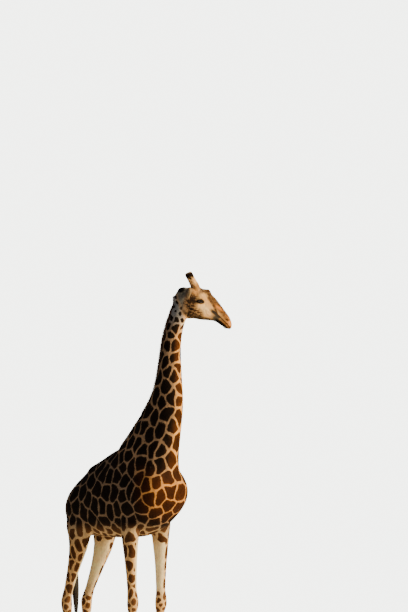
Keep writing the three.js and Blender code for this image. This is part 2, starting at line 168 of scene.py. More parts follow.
camera_data = bpy.data.cameras.new("camera")
camera_data.sensor_fit = "VERTICAL"
camera_data.sensor_height = SENSOR
camera_data.lens = SENSOR * focal_pixels / IMAGE_SIZE[1]
camera_data.clip_end = 500
camera = bpy.data.objects.new("camera", camera_data)
stage.link(camera)
camera.location = Vector(withers) - camera_ahead * CAMERA_DISTANCE + Vector((0, 0, CAMERA_HEIGHT))
looking = camera_ahead * math.cos(turn) + camera_right * math.sin(turn)
looking.z = math.tan(tilt)
camera.rotation_euler = looking.to_track_quat("-Z", "Y").to_euler()
bpy.context.scene.camera = camera
print("lens", round(camera_data.lens, 1), "mm; turned", round(math.degrees(turn), 2), "degrees")

# %% [markdown]
# Studio light. One broad, warm lamp stands low in front of the animal and lights its face, its
# throat and its breast; the flank is left to the soft light of the room, which is cooler and much
# weaker. A very wide, faint lamp on the camera's side keeps the dark coat readable. The room's wall
# is seen much brighter than it shines, which gives a plain pale background.

# %% Light the room
LAMPS = {  # degrees round and up, size in metres, power in watts and colour
    "key_lamp": (28, 22, 2.4, 8200, (1.0, 0.80, 0.48)),
    "side_lamp": (-60, 35, 9.0, 350, (0.95, 0.97, 1.0)),
}
LAMP_DISTANCE = 18
LAMP_AIM = Vector((withers[0] + 0.2, withers[1], 3.0))
ROOM_SEEN = (5.0, 5.1, 4.8)
ROOM_LIGHT = (0.84, 0.92, 1.0)
ROOM_STRENGTH = 0.115


def add_lamp(name, azimuth, elevation, size, power, colour):
    """Hang a square lamp that faces the middle of the animal."""
    lamp = bpy.data.lights.new(name, "AREA")
    lamp.size = size
    lamp.energy = power
    lamp.color = colour
    stand = bpy.data.objects.new(name, lamp)
    stage.link(stand)
    level = math.cos(elevation)
    direction = Vector((level * math.cos(azimuth), level * math.sin(azimuth), math.sin(elevation)))
    stand.location = LAMP_AIM + direction * LAMP_DISTANCE
    stand.rotation_euler = (-direction).to_track_quat("-Z", "Y").to_euler()


for name, (azimuth, elevation, *settings) in LAMPS.items():
    add_lamp(name, math.radians(azimuth), math.radians(elevation), *settings)

world = bpy.data.worlds.new("studio")
bpy.context.scene.world = world
world.use_nodes = True
nodes = world.node_tree.nodes
links = world.node_tree.links
seen = nodes.new("ShaderNodeBackground")
shining = nodes["Background"]
for backdrop, colour, strength in ((seen, ROOM_SEEN, 1.0), (shining, ROOM_LIGHT, ROOM_STRENGTH)):
    backdrop.inputs["Color"].default_value = (*colour, 1)
    backdrop.inputs["Strength"].default_value = strength
ray = nodes.new("ShaderNodeLightPath")
chooser = nodes.new("ShaderNodeMixShader")
links.new(ray.outputs["Is Camera Ray"], chooser.inputs["Fac"])
links.new(shining.outputs["Background"], chooser.inputs[1])
links.new(seen.outputs["Background"], chooser.inputs[2])
links.new(chooser.outputs["Shader"], nodes["World Output"].inputs["Surface"])
print(len(LAMPS), "lamps and a pale room")

# %% [markdown]
# Every finish here is made of nodes, with no pictures. These small helpers add a node, link it and
# set its sockets, so that each material below reads like its recipe.

# %% Helpers for materials
def colour_of(red, green, blue):
    """Turn a colour as paint charts give it, 0 to 255, into the linear values that light uses."""
    shares = np.array([red, green, blue]) / 255
    return np.where(shares <= 0.04045, shares / 12.92, ((shares + 0.055) / 1.055) ** 2.4)


class Recipe:
    """A material's node tree with its Principled shader, and short ways to add to it."""

    def __init__(self, name, roughness, **settings):
        self.material = bpy.data.materials.new(name)
        self.material.use_nodes = True
        self.tree = self.material.node_tree
        self.shader = self.tree.nodes["Principled BSDF"]
        self.shader.inputs["Roughness"].default_value = roughness
        for socket, value in settings.items():
            self.shader.inputs[socket.replace("_", " ")].default_value = value

    def add(self, kind, inputs=None, **settings):
        """Add a node; inputs maps a socket's name or number to a value or to another's output."""
        node = self.tree.nodes.new("ShaderNode" + kind)
        for key, value in settings.items():
            setattr(node, key, value)
        for key, value in (inputs or {}).items():
            self.feed(node.inputs[key], value)
        return node

    def feed(self, socket, value):
        """Link an output to a socket, or set a plain value on it."""
        if isinstance(value, bpy.types.NodeSocket):
            self.tree.links.new(value, socket)
        else:
            socket.default_value = value

    def place(self, scale=(1, 1, 1)):
        """Places on the object itself, stretched."""
        here = self.add("TexCoord").outputs["Object"]
        return self.add("VectorMath", {0: here, 1: scale}, operation="MULTIPLY").outputs[0]

    def noise(self, scale, detail=3.0, stretch=(1, 1, 1)):
        """Soft random grain between 0 and 1."""
        inputs = {"Vector": self.place(stretch), "Scale": scale, "Detail": detail}
        return self.add("TexNoise", inputs).outputs["Fac"]

    def stored(self, name, output="Fac"):
        """A named value that the mesh carries."""
        return self.add("Attribute", attribute_name=name).outputs[output]

    def ramp(self, value, low, high, to_low=0.0, to_high=1.0):
        """Carry a value from one range into another, held at both ends."""
        ends = {"From Min": low, "From Max": high, "To Min": to_low, "To Max": to_high}
        return self.add("MapRange", {"Value": value, **ends}).outputs["Result"]

    def math(self, operation, first, second):
        """One sum."""
        return self.add("Math", {0: first, 1: second}, operation=operation).outputs[0]

    def mix(self, share, first, second, how="MIX"):
        """Mix two colours."""
        node = self.add("Mix", data_type="RGBA", blend_type=how)
        self.feed(node.inputs[0], share)
        for socket, colour in ((node.inputs[6], first), (node.inputs[7], second)):
            plain = not isinstance(colour, bpy.types.NodeSocket)
            self.feed(socket, (*colour, 1) if plain and len(colour) == 3 else colour)
        return node.outputs[2]

    def bump(self, height, distance):
        """Let a height push the light about, as if the surface were that rough."""
        normal = self.add("Bump", {"Height": height, "Distance": distance, "Strength": 1.0}).outputs[0]
        self.drive("Normal", normal)

    def drive(self, name, value):
        """Feed one of the shader's own sockets."""
        self.feed(self.shader.inputs[name], value)


# %% [markdown]
# The floor is one wide, pale disc with a hint of grain. It is the stage and no part of the giraffe.

# %% Lay the floor
FLOOR_RADIUS = 16.0

pale = Recipe("pale_floor", 0.9)
pale.drive("Base Color", pale.mix(pale.noise(3.0, detail=5), (0.78, 0.76, 0.72), (0.84, 0.82, 0.78)))

floor_form = bmesh.new()
bmesh.ops.create_circle(floor_form, cap_ends=True, radius=FLOOR_RADIUS, segments=96)
floor_mesh = bpy.data.meshes.new("floor")
floor_form.to_mesh(floor_mesh)
floor_form.free()
floor = bpy.data.objects.new("floor", floor_mesh)
stage.link(floor)
floor_mesh.materials.append(pale.material)
print("floor of radius", FLOOR_RADIUS, "m")

# %% [markdown]
# The skin starts from the plain pieces of flesh, each swollen by a hair's breadth so that the thin
# cuts between them vanish. The sockets of eyes, ears, horns, mane and hooves are plugged, because
# their own pieces grow out of the finished skin. Blender's voxel remesh then lays one even net over
# all of it, as a taxidermist lays plaster over a jointed mannequin.

# %% Gather the flesh and its plugs
LEG_NAMES = [f"{pair}_{side}" for pair in ("foreleg", "hindleg") for side in SIDES]
HEAD_FLESH = ["head", "jaw", "neck_upper"]
FLESH = HEAD_FLESH + ["neck_lower", "trunk", "tail"]
FLESH += [f"{leg}_{part}" for leg in LEG_NAMES for part in ("upper", "lower")]
SWELL = 1.5 * MM
MANE_SUNK_BY = 55 * MM
HORN_STUMP_REACH = 70  # mm from the horn's foot that belong to the skin
HORN_FOOT = np.array([-140, 58, 78])
EAR_PLUG = np.array([-200, 88, 6])
EAR_PLUG_RADIUS = 34 * MM
HOOF_PLUG_RADII = (0.070, 0.066, 0.030)
HOOF_TOP = 0.150

# The neck's middle line, counted from the withers.
NECK_LINE = [
    [330, 0, 2450], [450, 0, 2730], [590, 0, 3010], [735, 0, 3270], [845, 5, 3530], [895, 15, 3800],
    [930, 30, 4080], [968, 52, 4360], [1020, 85, 4570], [1072, 125, 4730], [1110, 190, 4810],
]


def rounded_line(stations, count=120):
    """A smooth line through a few places, as evenly spaced points."""
    padded = np.vstack([2 * stations[0] - stations[1], stations, 2 * stations[-1] - stations[-2]])
    spans = np.linspace(0, len(stations) - 1 - 1e-9, 40 * len(stations))
    index = spans.astype(int)
    t = (spans - index)[:, None]
    a, b, c, d = (padded[index + k] for k in range(4))
    points = b + 0.5 * t * (c - a + t * (2 * a - 5 * b + 4 * c - d + t * (3 * (b - c) + d - a)))
    length = np.r_[0, np.cumsum(norm(np.diff(points, axis=0), axis=1))]
    even = np.linspace(0, length[-1], count)
    return np.stack([np.interp(even, length, points[:, k]) for k in range(points.shape[1])], axis=1)


neck_line = rounded_line(from_withers(NECK_LINE))


def nearest_on_line(points, line):
    """For each point: the share of the line's length that is nearest to it, and the vector to it."""
    away = norm(points[:, None, :].astype(np.float32) - line[None].astype(np.float32), axis=2)
    nearest = away.argmin(axis=1)
    return nearest / (len(line) - 1), line[nearest] - points


def plain_form(name):
    """A plain piece as a welded form of its own."""
    form = bmesh.new()
    form.from_mesh(bpy.data.objects[name].data)
    bmesh.ops.remove_doubles(form, verts=form.verts, dist=1e-5)
    form.normal_update()
    return form


def form_arrays(form):
    """The points and triangles of a form."""
    bmesh.ops.triangulate(form, faces=form.faces)
    form.verts.index_update()
    points = np.array([vert.co[:] for vert in form.verts])
    faces = np.array([[vert.index for vert in face.verts] for face in form.faces])
    form.free()
    return points, faces


def swollen(name):
    """A plain piece grown by SWELL."""
    form = plain_form(name)
    for vert in form.verts:
        vert.co += vert.normal * SWELL
    return form_arrays(form)


def ball(middle, radii):
    """A closed ball, or an egg, as a plug."""
    form = bmesh.new()
    bmesh.ops.create_icosphere(form, subdivisions=3, radius=1)
    points, faces = form_arrays(form)
    return points * np.asarray(radii) + middle, faces


def horn_stump(name, side):
    """The foot of a horn's plain piece, drawn in past HORN_STUMP_REACH."""
    points, faces = form_arrays(plain_form(name))
    foot = from_head(HORN_FOOT * [1, side, 1])
    away = points - foot
    distance = norm(away, axis=1, keepdims=True)
    return foot + away * np.minimum(1, HORN_STUMP_REACH * MM / np.maximum(distance, 1e-6)), faces


def sunk_mane():
    """The mane's plain piece pushed into the neck, to fill its slot."""
    points, faces = form_arrays(plain_form("mane"))
    _, inward = nearest_on_line(points, neck_line)
    return points + unit(inward) * MANE_SUNK_BY, faces


head_plugs = [sunk_mane()]
for side_name, side in SIDES.items():
    eye_low, eye_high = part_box(f"eye_{side_name}")
    head_plugs.append(ball(node_middle(f"eye_{side_name}"), (eye_high - eye_low) / 2))
    head_plugs.append(horn_stump(f"ossicone_{side_name}", side))
    head_plugs.append(ball(from_head(EAR_PLUG * [1, side, 1]), [EAR_PLUG_RADIUS] * 3))
hoof_plugs = []
for leg in LEG_NAMES:
    hoof_middle = node_middle(f"hoof_{leg}")
    hoof_plugs.append(ball([hoof_middle[0] - 0.03, hoof_middle[1], HOOF_TOP], HOOF_PLUG_RADII))
print(len(FLESH), "pieces of flesh and", len(head_plugs) + len(hoof_plugs), "plugs")


# %% [markdown]
# A net of about 2 cm does for the body, but the head shows lids, lips and nostrils. So the body is
# remeshed coarsely, and the head once more finely; later the head part of the coarse net is divided
# and drawn onto the fine one.

# %% Cast one net over everything
BODY_NET = 19 * MM
HEAD_NET = 5 * MM


def joined(shapes):
    """Several shapes as one set of points and faces."""
    starts = np.cumsum([0] + [len(points) for points, _ in shapes[:-1]])
    points = np.vstack([points for points, _ in shapes])
    faces = np.vstack([faces + start for (_, faces), start in zip(shapes, starts)])
    return points, faces


def add_mesh(name, points, faces):
    """A new Blender object from arrays of points and of faces that all have the same corners."""
    mesh = bpy.data.meshes.new(name)
    corners = faces.shape[1]
    mesh.vertices.add(len(points))
    mesh.vertices.foreach_set("co", np.ascontiguousarray(points, dtype=np.float32).ravel())
    mesh.loops.add(faces.size)
    mesh.loops.foreach_set("vertex_index", np.ascontiguousarray(faces, dtype=np.int32).ravel())
    mesh.polygons.add(len(faces))
    mesh.polygons.foreach_set("loop_start", np.arange(0, faces.size, corners, dtype=np.int32))
    mesh.polygons.foreach_set("use_smooth", np.ones(len(faces), dtype=bool))
    mesh.update(calc_edges=True)
    mesh.validate()
    piece = bpy.data.objects.new(name, mesh)
    stage.link(piece)
    return piece


def mesh_arrays(mesh, corners):
    """The points of a mesh and its faces, when all of them have the same number of corners."""
    points = np.empty(len(mesh.vertices) * 3, dtype=np.float32)
    mesh.vertices.foreach_get("co", points)
    indices = np.empty(len(mesh.loops), dtype=np.int32)
    mesh.loops.foreach_get("vertex_index", indices)
    return points.reshape(-1, 3).astype(float), indices.reshape(-1, corners)


def cast_net(shapes, mesh_size):
    """Voxel remesh of closed shapes: one closed net of even four-sided meshes."""
    lump = add_mesh("lump", *joined(shapes))
    remesh = lump.modifiers.new("net", "REMESH")
    remesh.mode = "VOXEL"
    remesh.voxel_size = mesh_size
    solid = lump.evaluated_get(bpy.context.evaluated_depsgraph_get())
    points, faces = mesh_arrays(solid.to_mesh(), corners=4)
    solid.to_mesh_clear()
    bpy.data.objects.remove(lump)
    return points, faces


flesh = {name: swollen(name) for name in FLESH}
body_points, body_faces = cast_net([*flesh.values(), *head_plugs, *hoof_plugs], BODY_NET)
head_points, head_faces = cast_net([*(flesh[name] for name in HEAD_FLESH), *head_plugs], HEAD_NET)
print("body net", len(body_faces), "faces; head net", len(head_faces), "faces")

# %% [markdown]
# A voxel net keeps the steps of its grid and the flat facets of the plain model. Plain smoothing
# would wear the legs thin, so each round has two steps: one that evens the net out, and one that
# pushes it back a little further. Broad forms keep their size and only the small bumps go.

# %% Smooth the nets
def halves(faces):
    """Each four-sided mesh of a net as two triangles."""
    return np.vstack([faces[:, [0, 1, 2]], faces[:, [0, 2, 3]]])


def edges_of(triangles):
    """Every edge of the triangles once, as pairs of points."""
    pairs = np.vstack([triangles[:, [0, 1]], triangles[:, [1, 2]], triangles[:, [2, 0]]])
    return np.unique(np.sort(pairs, axis=1), axis=0)


SMOOTH_IN = 0.5
SMOOTH_OUT = -0.53


def smoothed(points, triangles, rounds):
    """Even out a net; rounds may differ from point to point."""
    edges = edges_of(triangles)
    ends = np.r_[edges[:, 0], edges[:, 1]]
    others = np.r_[edges[:, 1], edges[:, 0]]
    neighbours = np.maximum(np.bincount(ends, minlength=len(points)), 1)
    rounds = np.broadcast_to(rounds, len(points))
    points = points.copy()
    for step in range(int(rounds.max())):
        moving = (rounds > step)[:, None]
        for share in (SMOOTH_IN, SMOOTH_OUT):
            sums = [np.bincount(ends, points[others, k], len(points)) for k in range(3)]
            middle = np.stack(sums, axis=1) / neighbours[:, None]
            points += moving * share * (middle - points)
    return points


def normals_of(points, triangles):
    """The outward direction at every point."""
    a, b, c = (points[triangles[:, k]] for k in range(3))
    across = np.cross(b - a, c - a)
    sums = np.zeros_like(points)
    for k in range(3):
        for axis in range(3):
            sums[:, axis] += np.bincount(triangles[:, k], across[:, axis], len(points))
    return unit(sums)


TRUNK_ROUNDS = 34
LEG_ROUNDS = 12
HEAD_ROUNDS = 8
FINE_HEAD_ROUNDS = 16
NAPE_CUT = np.array([-300, 0, -110])
NAPE_NORMAL = np.array([0.535, 0, 0.845])


def past_nape(points):
    """How far in front of the cut between neck and head a place is, in millimetres."""
    local = to_head(points)
    near = norm(local - [100, 0, -50], axis=1) < 650
    return np.where(near, (local - NAPE_CUT) @ NAPE_NORMAL, -1000.0)


skin_points, skin_faces = body_points, halves(body_faces)
head_depth = past_nape(skin_points)
leg_share = ease(1.9, 1.3, skin_points[:, 2])
body_rounds = np.round(blend(TRUNK_ROUNDS, LEG_ROUNDS, leg_share))
body_rounds = np.where(head_depth > -60, HEAD_ROUNDS, body_rounds)
skin_points = smoothed(skin_points, skin_faces, body_rounds)
fine_faces = halves(head_faces)
fine_points = smoothed(head_points, fine_faces, FINE_HEAD_ROUNDS)
fine_tree = BVHTree.FromPolygons(fine_points.tolist(), fine_faces.tolist())
print("smoothed", len(skin_points), "points of the body and", len(fine_points), "of the head")

# %% [markdown]
# The head part of the coarse net is now divided, drawn onto the fine net, and divided again around
# the eyes, the nostrils and the lips. Splitting each chosen triangle into four, and its neighbours
# into two or three, keeps the skin closed, with no loose corners where coarse meets fine.

# %% Divide the face more finely
EYES = np.array([EYE_AT, EYE_AT * [1, -1, 1]]) / MM


def divide(points, triangles, chosen):
    """Split the chosen triangles into four each; neighbours are split to match."""
    count = len(points)
    sides = np.stack([triangles, np.roll(triangles, -1, axis=1)], axis=2)
    keys = sides.min(axis=2).astype(np.int64) * count + sides.max(axis=2)
    cut_keys = np.unique(keys[chosen])
    cut_points = (points[cut_keys // count] + points[cut_keys % count]) / 2
    found = np.searchsorted(cut_keys, keys).clip(max=len(cut_keys) - 1)
    middle = np.where(cut_keys[found] == keys, found + count, -1)
    cuts = (middle >= 0).sum(axis=1)
    # Turn each triangle so that its first side is cut and, where two are, its last side is whole.
    whole_last = (cuts == 2) * ((middle < 0).argmax(axis=1) + 1)
    cut_first = (cuts == 1) * (middle >= 0).argmax(axis=1)
    order = (np.arange(3) + (whole_last + cut_first)[:, None]) % 3
    a, b, c = np.take_along_axis(triangles, order, axis=1).T
    p, q, r = np.take_along_axis(middle, order, axis=1).T
    parts = {
        0: [(a, b, c)],
        1: [(a, p, c), (p, b, c)],
        2: [(p, b, q), (a, p, q), (a, q, c)],
        3: [(a, p, r), (p, b, q), (r, q, c), (p, q, r)],
    }
    pieces = [np.stack(part, axis=1)[cuts == k] for k, group in parts.items() for part in group]
    return np.vstack([points, cut_points]), np.vstack(pieces)


def face_middles(points, triangles):
    """The middle of each triangle on the head, in millimetres."""
    return to_head(points[triangles].mean(axis=1))


def near_eye(places, reach):
    """Which places on the head lie within reach of either eye."""
    return np.any([norm(places - eye, axis=1) < reach for eye in EYES], axis=0)


def drawn_onto_head(points):
    """Move the points of the head onto the fine net, less and less towards the neck."""
    depth = past_nape(points)
    share = ease(-60, -10, depth)
    moved = points.copy()
    for index in np.flatnonzero(share > 0):
        nearest = fine_tree.find_nearest(points[index])[0]
        moved[index] = blend(points[index], np.array(nearest), share[index])
    return moved


from_nape = past_nape(skin_points)[skin_faces].min(axis=1)
skin_points, skin_faces = divide(skin_points, skin_faces, from_nape > -70)
skin_points = drawn_onto_head(skin_points)
places = face_middles(skin_points, skin_faces)
in_front = (places[:, 0] > -190) & (past_nape(skin_points)[skin_faces].min(axis=1) > 0)
skin_points, skin_faces = divide(skin_points, skin_faces, in_front)
skin_points = drawn_onto_head(skin_points)
skin_points = smoothed(skin_points, skin_faces, np.where(past_nape(skin_points) > -40, 3, 0))
print("skin with a finer head:", len(skin_faces), "triangles")
for reach in (56, 42):
    chosen = near_eye(face_middles(skin_points, skin_faces), reach)
    skin_points, skin_faces = divide(skin_points, skin_faces, chosen)
places = face_middles(skin_points, skin_faces)
forward, sideways, upward = places.T
chosen = (forward > 350) & (np.abs(upward + 8 + 0.137 * (forward - 288)) < 16)  # along the mouth
chosen |= (np.abs(forward - 388) < 34) & (np.abs(upward - 20) < 26) & (np.abs(sideways) > 30)  # nostrils
skin_points, skin_faces = divide(skin_points, skin_faces, chosen)
places = to_head(skin_points)
near = near_eye(places, 66) | (places[:, 0] > 340) & (past_nape(skin_points) > 0)
skin_points = smoothed(skin_points, skin_faces, np.where(near, 3, 0))
print("skin with eyes and lips:", len(skin_faces), "triangles")

# %% [markdown]
# Now the flesh under the skin is modelled, as a sculptor adds clay. Each form is either a soft
# swelling with a middle and a reach, or a ridge that follows a line. A minus height is a hollow or
# a fold. All of them add up to one height at each point of the skin, which then moves that far out.

# %% Model muscle, bone and folds
# Swellings: middle, reach and height in millimetres, counted from the withers; both sides alike.
BODY_SWELLINGS = [
    ((82, 0, 2960), (95, 70, 80), 17),  # fill before the withers
    ((250, 170, 2830), (110, 120, 190), 16),  # upper end of the shoulder blade
    ((560, 330, 2560), (60, 120, 190), -10),  # hollow before the shoulder blade
    ((430, 300, 2240), (110, 120, 120), 18),  # long muscle behind the upper arm
    ((500, 320, 2020), (60, 80, 70), 14),  # elbow
    ((690, 300, 2290), (70, 90, 120), 12),  # point of the shoulder
    ((-330, 210, 2740), (70, 90, 60), 16),  # point of the hip
    ((-430, 330, 2480), (90, 90, 170), -14),  # hollow of the flank before the thigh
    ((-640, 300, 2330), (130, 120, 170), 16),  # thigh
    ((-470, 290, 2020), (70, 80, 80), 14),  # stifle
    ((-830, 150, 2560), (60, 60, 70), 12),  # seat bone
    ((990, 60, 2330), (60, 60, 120), 12),  # brisket, left and right of its groove
]
# Ridges: line, radius and height, in the same way; a minus height is a furrow.
BODY_RIDGES = [
    ([(300, 215, 2900), (480, 290, 2620), (640, 330, 2400)], 34, 12),  # spine of the shoulder blade
    ([(640, 330, 2420), (430, 330, 2330), (330, 300, 2230)], 22, -9),  # groove behind the shoulder
    ([(-540, 300, 2180), (-300, 345, 2030), (0, 300, 1930)], 30, 10),  # fold from thigh to belly
    ([(-760, 220, 2480), (-700, 262, 2200), (-690, 235, 1960)], 16, -7),  # groove in the thigh
    ([(700, 230, 3030), (800, 190, 3005), (905, 60, 3000)], 25, -22),  # fold across the neck's foot
    ([(700, 225, 3110), (800, 175, 3085), (900, 50, 3080)], 32, 13),  # roll over it
    ([(720, 240, 2950), (850, 180, 2925), (950, 40, 2915)], 34, 11),  # roll under it
    ([(790, 160, 3190), (870, 100, 3170), (915, 20, 3165)], 20, -10),  # higher fold
    ([(620, 262, 3080), (700, 190, 3400), (760, 150, 3800)], 30, 6),  # strap muscle of the neck
    ([(760, 215, 3000), (800, 165, 3400), (840, 120, 3800), (900, 100, 4200)], 22, -7),  # its groove
]
RIB_COUNT = 9
RIB_FIRST = 150
RIB_STEP = 62
KNEE_HEIGHT = 1090
HOCK_HEIGHT = 1050


def over_body(points):
    """Places counted from the withers in millimetres, with the right side folded onto the left."""
    local = (points - withers) / MM
    local[:, 1] = np.abs(local[:, 1])
    return local


def swelling(places, middle, reach, height):
    """A soft bump."""
    away = (places - middle) / np.asarray(reach)
    return height * np.exp(-(away * away).sum(axis=1))


def off_line(places, line):
    """Distance to a line of straight stretches, and the share of it passed at the nearest place."""
    line = np.asarray(line, dtype=float)
    best = np.full(len(places), 1e9)
    share = np.zeros(len(places))
    for index, (start, end) in enumerate(zip(line[:-1], line[1:])):
        run = end - start
        t = np.clip((places - start) @ run / (run @ run), 0, 1)
        away = norm(places - start - t[:, None] * run, axis=1)
        share = np.where(away < best, (index + t) / (len(line) - 1), share)
        best = np.minimum(best, away)
    return best, share


def ridge(places, line, radius, height):
    """A rounded ridge or furrow that fades in and out at its ends."""
    away, share = off_line(places, line)
    return height * np.exp(-((away / radius) ** 2)) * np.sin(math.pi * np.clip(share, 0.04, 0.96)) ** 0.5


def ribs(places):
    """Faint ribs that show through the flank, slanting back as they go down."""
    height = np.zeros(len(places))
    for index in range(RIB_COUNT):
        top = RIB_FIRST - RIB_STEP * index
        line = [(top, 300, 2700), (top - 60, 380, 2400), (top - 40, 330, 2080)]
        height += ridge(places, line, 17, 3.5)
    return height


def leg_bones(points):
    """Knees, hocks, fetlocks and the tendons behind the shins; each leg is read from its own line."""
    height = np.zeros(len(points))
    for leg in LEG_NAMES:
        low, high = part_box(f"{leg}_lower")
        middle = np.array((low + high) / 2)
        side = -1 if leg.endswith("right") else 1
        near = (np.abs(points[:, 1] - middle[1]) < 0.15) & (points[:, 2] < 1.45)
        near &= (points[:, 0] > low.x - 0.12) & (points[:, 0] < high.x + 0.12)
        near = np.flatnonzero(near)
        spot = (points[near] - [middle[0], middle[1], 0]) / MM
        axis = np.interp(spot[:, 2], *leg_axis(points, near, middle[0]))
        spot[:, 0] -= axis
        outer = spot * [1, side, 1]
        is_fore = leg.startswith("fore")
        joint = KNEE_HEIGHT if is_fore else HOCK_HEIGHT
        grown = swelling(outer, (58, 0, joint), (40, 50, 60), 7)
        for edge in (1, -1):
            grown += swelling(outer, (0, 55 * edge, joint - 30), (40, 40, 40), 6)
        grown -= swelling(outer, (20, 50, joint - 110), (30, 30, 50), 4)
        grown += swelling(outer, (-60, 0, joint + 30), (36, 36, 60), 5 if is_fore else 9)
        for edge in (1, -1):
            grown += swelling(outer, (-50, 34 * edge, 300), (34, 26, 36), 7)
            tendon = [(-26, 26 * edge, joint - 120), (-30, 26 * edge, 620), (-38, 28 * edge, 360)]
            grown -= ridge(outer, tendon, 11, 5)
        height[near] += grown
    return height


def leg_axis(points, near, start):
    """The middle of a leg at each height: heights, and how far forward of start the middle is."""
    heights = np.linspace(150, 1450, 27)
    band = (points[near, 2] / MM)[:, None] - heights
    weight = np.exp(-((band / 40) ** 2))
    middles = (weight * (points[near, 0] - start)[:, None]).sum(axis=0) / weight.sum(axis=0).clip(1e-6)
    return heights, middles / MM


body_places = over_body(skin_points)
body_height = ribs(body_places) + leg_bones(skin_points)
for middle, reach, height in BODY_SWELLINGS:
    body_height += swelling(body_places, middle, reach, height)
for line, radius, height in BODY_RIDGES:
    body_height += ridge(body_places, line, radius, height)
body_height *= past_nape(skin_points) < -60
print("flesh raised by", round(body_height.max(), 1), "mm, sunk by", round(-body_height.min(), 1), "mm")

# %% [markdown]
# A giraffe's head is long and dry: skin stretched over bone, with a strong brow, a ridge along the
# cheekbone, soft, mobile lips and slit nostrils that can close. The same swellings and ridges are
# used, now in the head's own frame. The mouth is one long groove with a full lip on either side.

# %% Model the face
HEAD_SWELLINGS = [
    ((-70, 96, -150), (80, 50, 80), 7),  # chewing muscle
    ((-100, 100, 6), (34, 40, 26), -5),  # hollow of the temple
    ((96, 74, -96), (50, 44, 40), -4),  # hollow before the chewing muscle
    ((70, 60, 96), (60, 40, 50), -4),  # flat of the nose beside its bridge
    ((-30, 96, 44), (40, 30, 24), 5),  # bone over the eye
    ((60, 100, -20), (24, 40, 16), -5),  # corner before the eye
    ((-14, 0, 176), (40, 34, 30), 5),  # knob of the forehead
    ((-284, 30, -40), (30, 30, 30), 17),  # knobs at the back of the skull
    ((-246, 30, 20), (26, 40, 24), -8),  # dip between them and the horns
    ((380, 66, 40), (26, 30, 16), 5),  # upper rim of the nostril
    ((392, 66, 2), (30, 30, 14), 4),  # lower rim of the nostril
    ((476, 16, 6), (26, 26, 26), 5),  # tip of the upper lip
    ((440, 30, -74), (30, 30, 18), 6),  # chin
    ((470, 0, 10), (30, 5, 30), -4),  # groove in the upper lip
    ((300, 0, -90), (90, 14, 20), -4),  # hollow between the jaw bones
    ((280, 74, -34), (22, 30, 26), 4),  # corner of the mouth
    ((-230, 100, -150), (50, 50, 60), -4),  # hollow behind the jaw
]
HEAD_RIDGES = [
    ([(30, 104, -64), (120, 86, -48), (220, 66, -22)], 11, 4),  # cheekbone's ridge
    ([(30, 92, 30), (140, 66, 50), (300, 56, 44)], 12, -3),  # groove beside the bridge of the nose
    ([(30, 10, 150), (160, 10, 140), (330, 8, 92)], 16, 3),  # bridge of the nose
    ([(230, 52, -112), (60, 70, -206), (-110, 96, -262)], 14, 5),  # edge of the jaw
    ([(-130, 96, -258), (-190, 104, -170), (-216, 104, -60)], 13, -6),  # fold between jaw and neck
    ([(288, 66, -8), (220, 72, -8), (150, 84, -4)], 6, -3.5),  # fold behind the corner of the mouth
    ([(250, 70, -34), (200, 76, -60), (150, 84, -100)], 5, -1.6),  # smaller fold under it
    ([(140, 84, -40), (100, 96, -92), (40, 108, -150)], 4, 1.6),  # vein across the cheek
    ([(100, 96, -92), (120, 84, -140)], 4, 1.3),  # its branch
    ([(-72, 122, -6), (-20, 134, 22), (34, 122, 30)], 10, 5),  # edge of the brow
    ([(-50, 120, -48), (-90, 118, -62), (-150, 112, -60)], 6, -2.2),  # crease behind the eye
    ([(20, 116, -2), (50, 108, -8), (84, 98, -22)], 5, -2.2),  # tear line before the eye
    ([(-40, 122, -74), (10, 122, -66), (60, 106, -44)], 6, 2.5),  # bag under the eye
    ([(340, 62, 62), (370, 62, 58), (404, 54, 48)], 5, -2),  # fold above the nostril
]
MOUTH_BACK = 286
MOUTH_HEIGHT = -8
MOUTH_SLOPE = -0.137
NOSTRIL_LINE = [(362, 70, 6), (376, 70, 20), (398, 70, 27), (414, 66, 22)]


def mouth(places):
    """The groove of the mouth with a lip above and below it."""
    line = MOUTH_HEIGHT + MOUTH_SLOPE * (places[:, 0] - MOUTH_BACK)
    above = places[:, 2] - line
    along = ease(MOUTH_BACK - 6, MOUTH_BACK + 26, places[:, 0])
    groove = -7 * np.exp(-((above / 3.4) ** 2))
    lips = 3.2 * np.exp(-(((above - 11) / 8) ** 2)) + 3.0 * np.exp(-(((above + 11) / 8) ** 2))
    return along * (groove + lips * ease(MOUTH_BACK, 380, places[:, 0]))


def nostrils(places):
    """Slanting slits with soft rims."""
    away, share = off_line(places * [1, 0, 1], np.array(NOSTRIL_LINE) * [1, 0, 1])
    fade = np.sin(math.pi * np.clip(share, 0.06, 0.94)) ** 0.7
    outer = ease(16, 34, places[:, 1])
    return outer * fade * (3.0 * np.exp(-(((away - 9) / 5) ** 2)) - 13 * np.exp(-((away / 3.6) ** 2)))


head_places = to_head(skin_points)
head_places[:, 1] = np.abs(head_places[:, 1])
face_share = ease(-40, 10, past_nape(skin_points))
head_height = mouth(head_places) + nostrils(head_places)
for middle, reach, height in HEAD_SWELLINGS:
    head_height += swelling(head_places, middle, reach, height)
for line, radius, height in HEAD_RIDGES:
    head_height += ridge(head_places, line, radius, height)

COAT_DEPTH_BODY = 4.0
COAT_DEPTH_HEAD = 1.5
coat_depth = blend(COAT_DEPTH_BODY, COAT_DEPTH_HEAD, ease(-200, 60, past_nape(skin_points)))
out_by = body_height + head_height * face_share - coat_depth - SWELL / MM
skin_points = skin_points + normals_of(skin_points, skin_faces) * (out_by * MM)[:, None]
print("face raised by", round(head_height.max(), 1), "mm, sunk by", round(-head_height.min(), 1), "mm")

# %% [markdown]
# Lids hug the eyeball. Seen from its middle, each nearby point of the skin is either outside the
# almond of the opening, where it lies as lid a few millimetres over the ball, or inside it, where it
# sinks behind the ball and shows it. The change between the two makes the thick, rounded edge that
# carries the lashes.

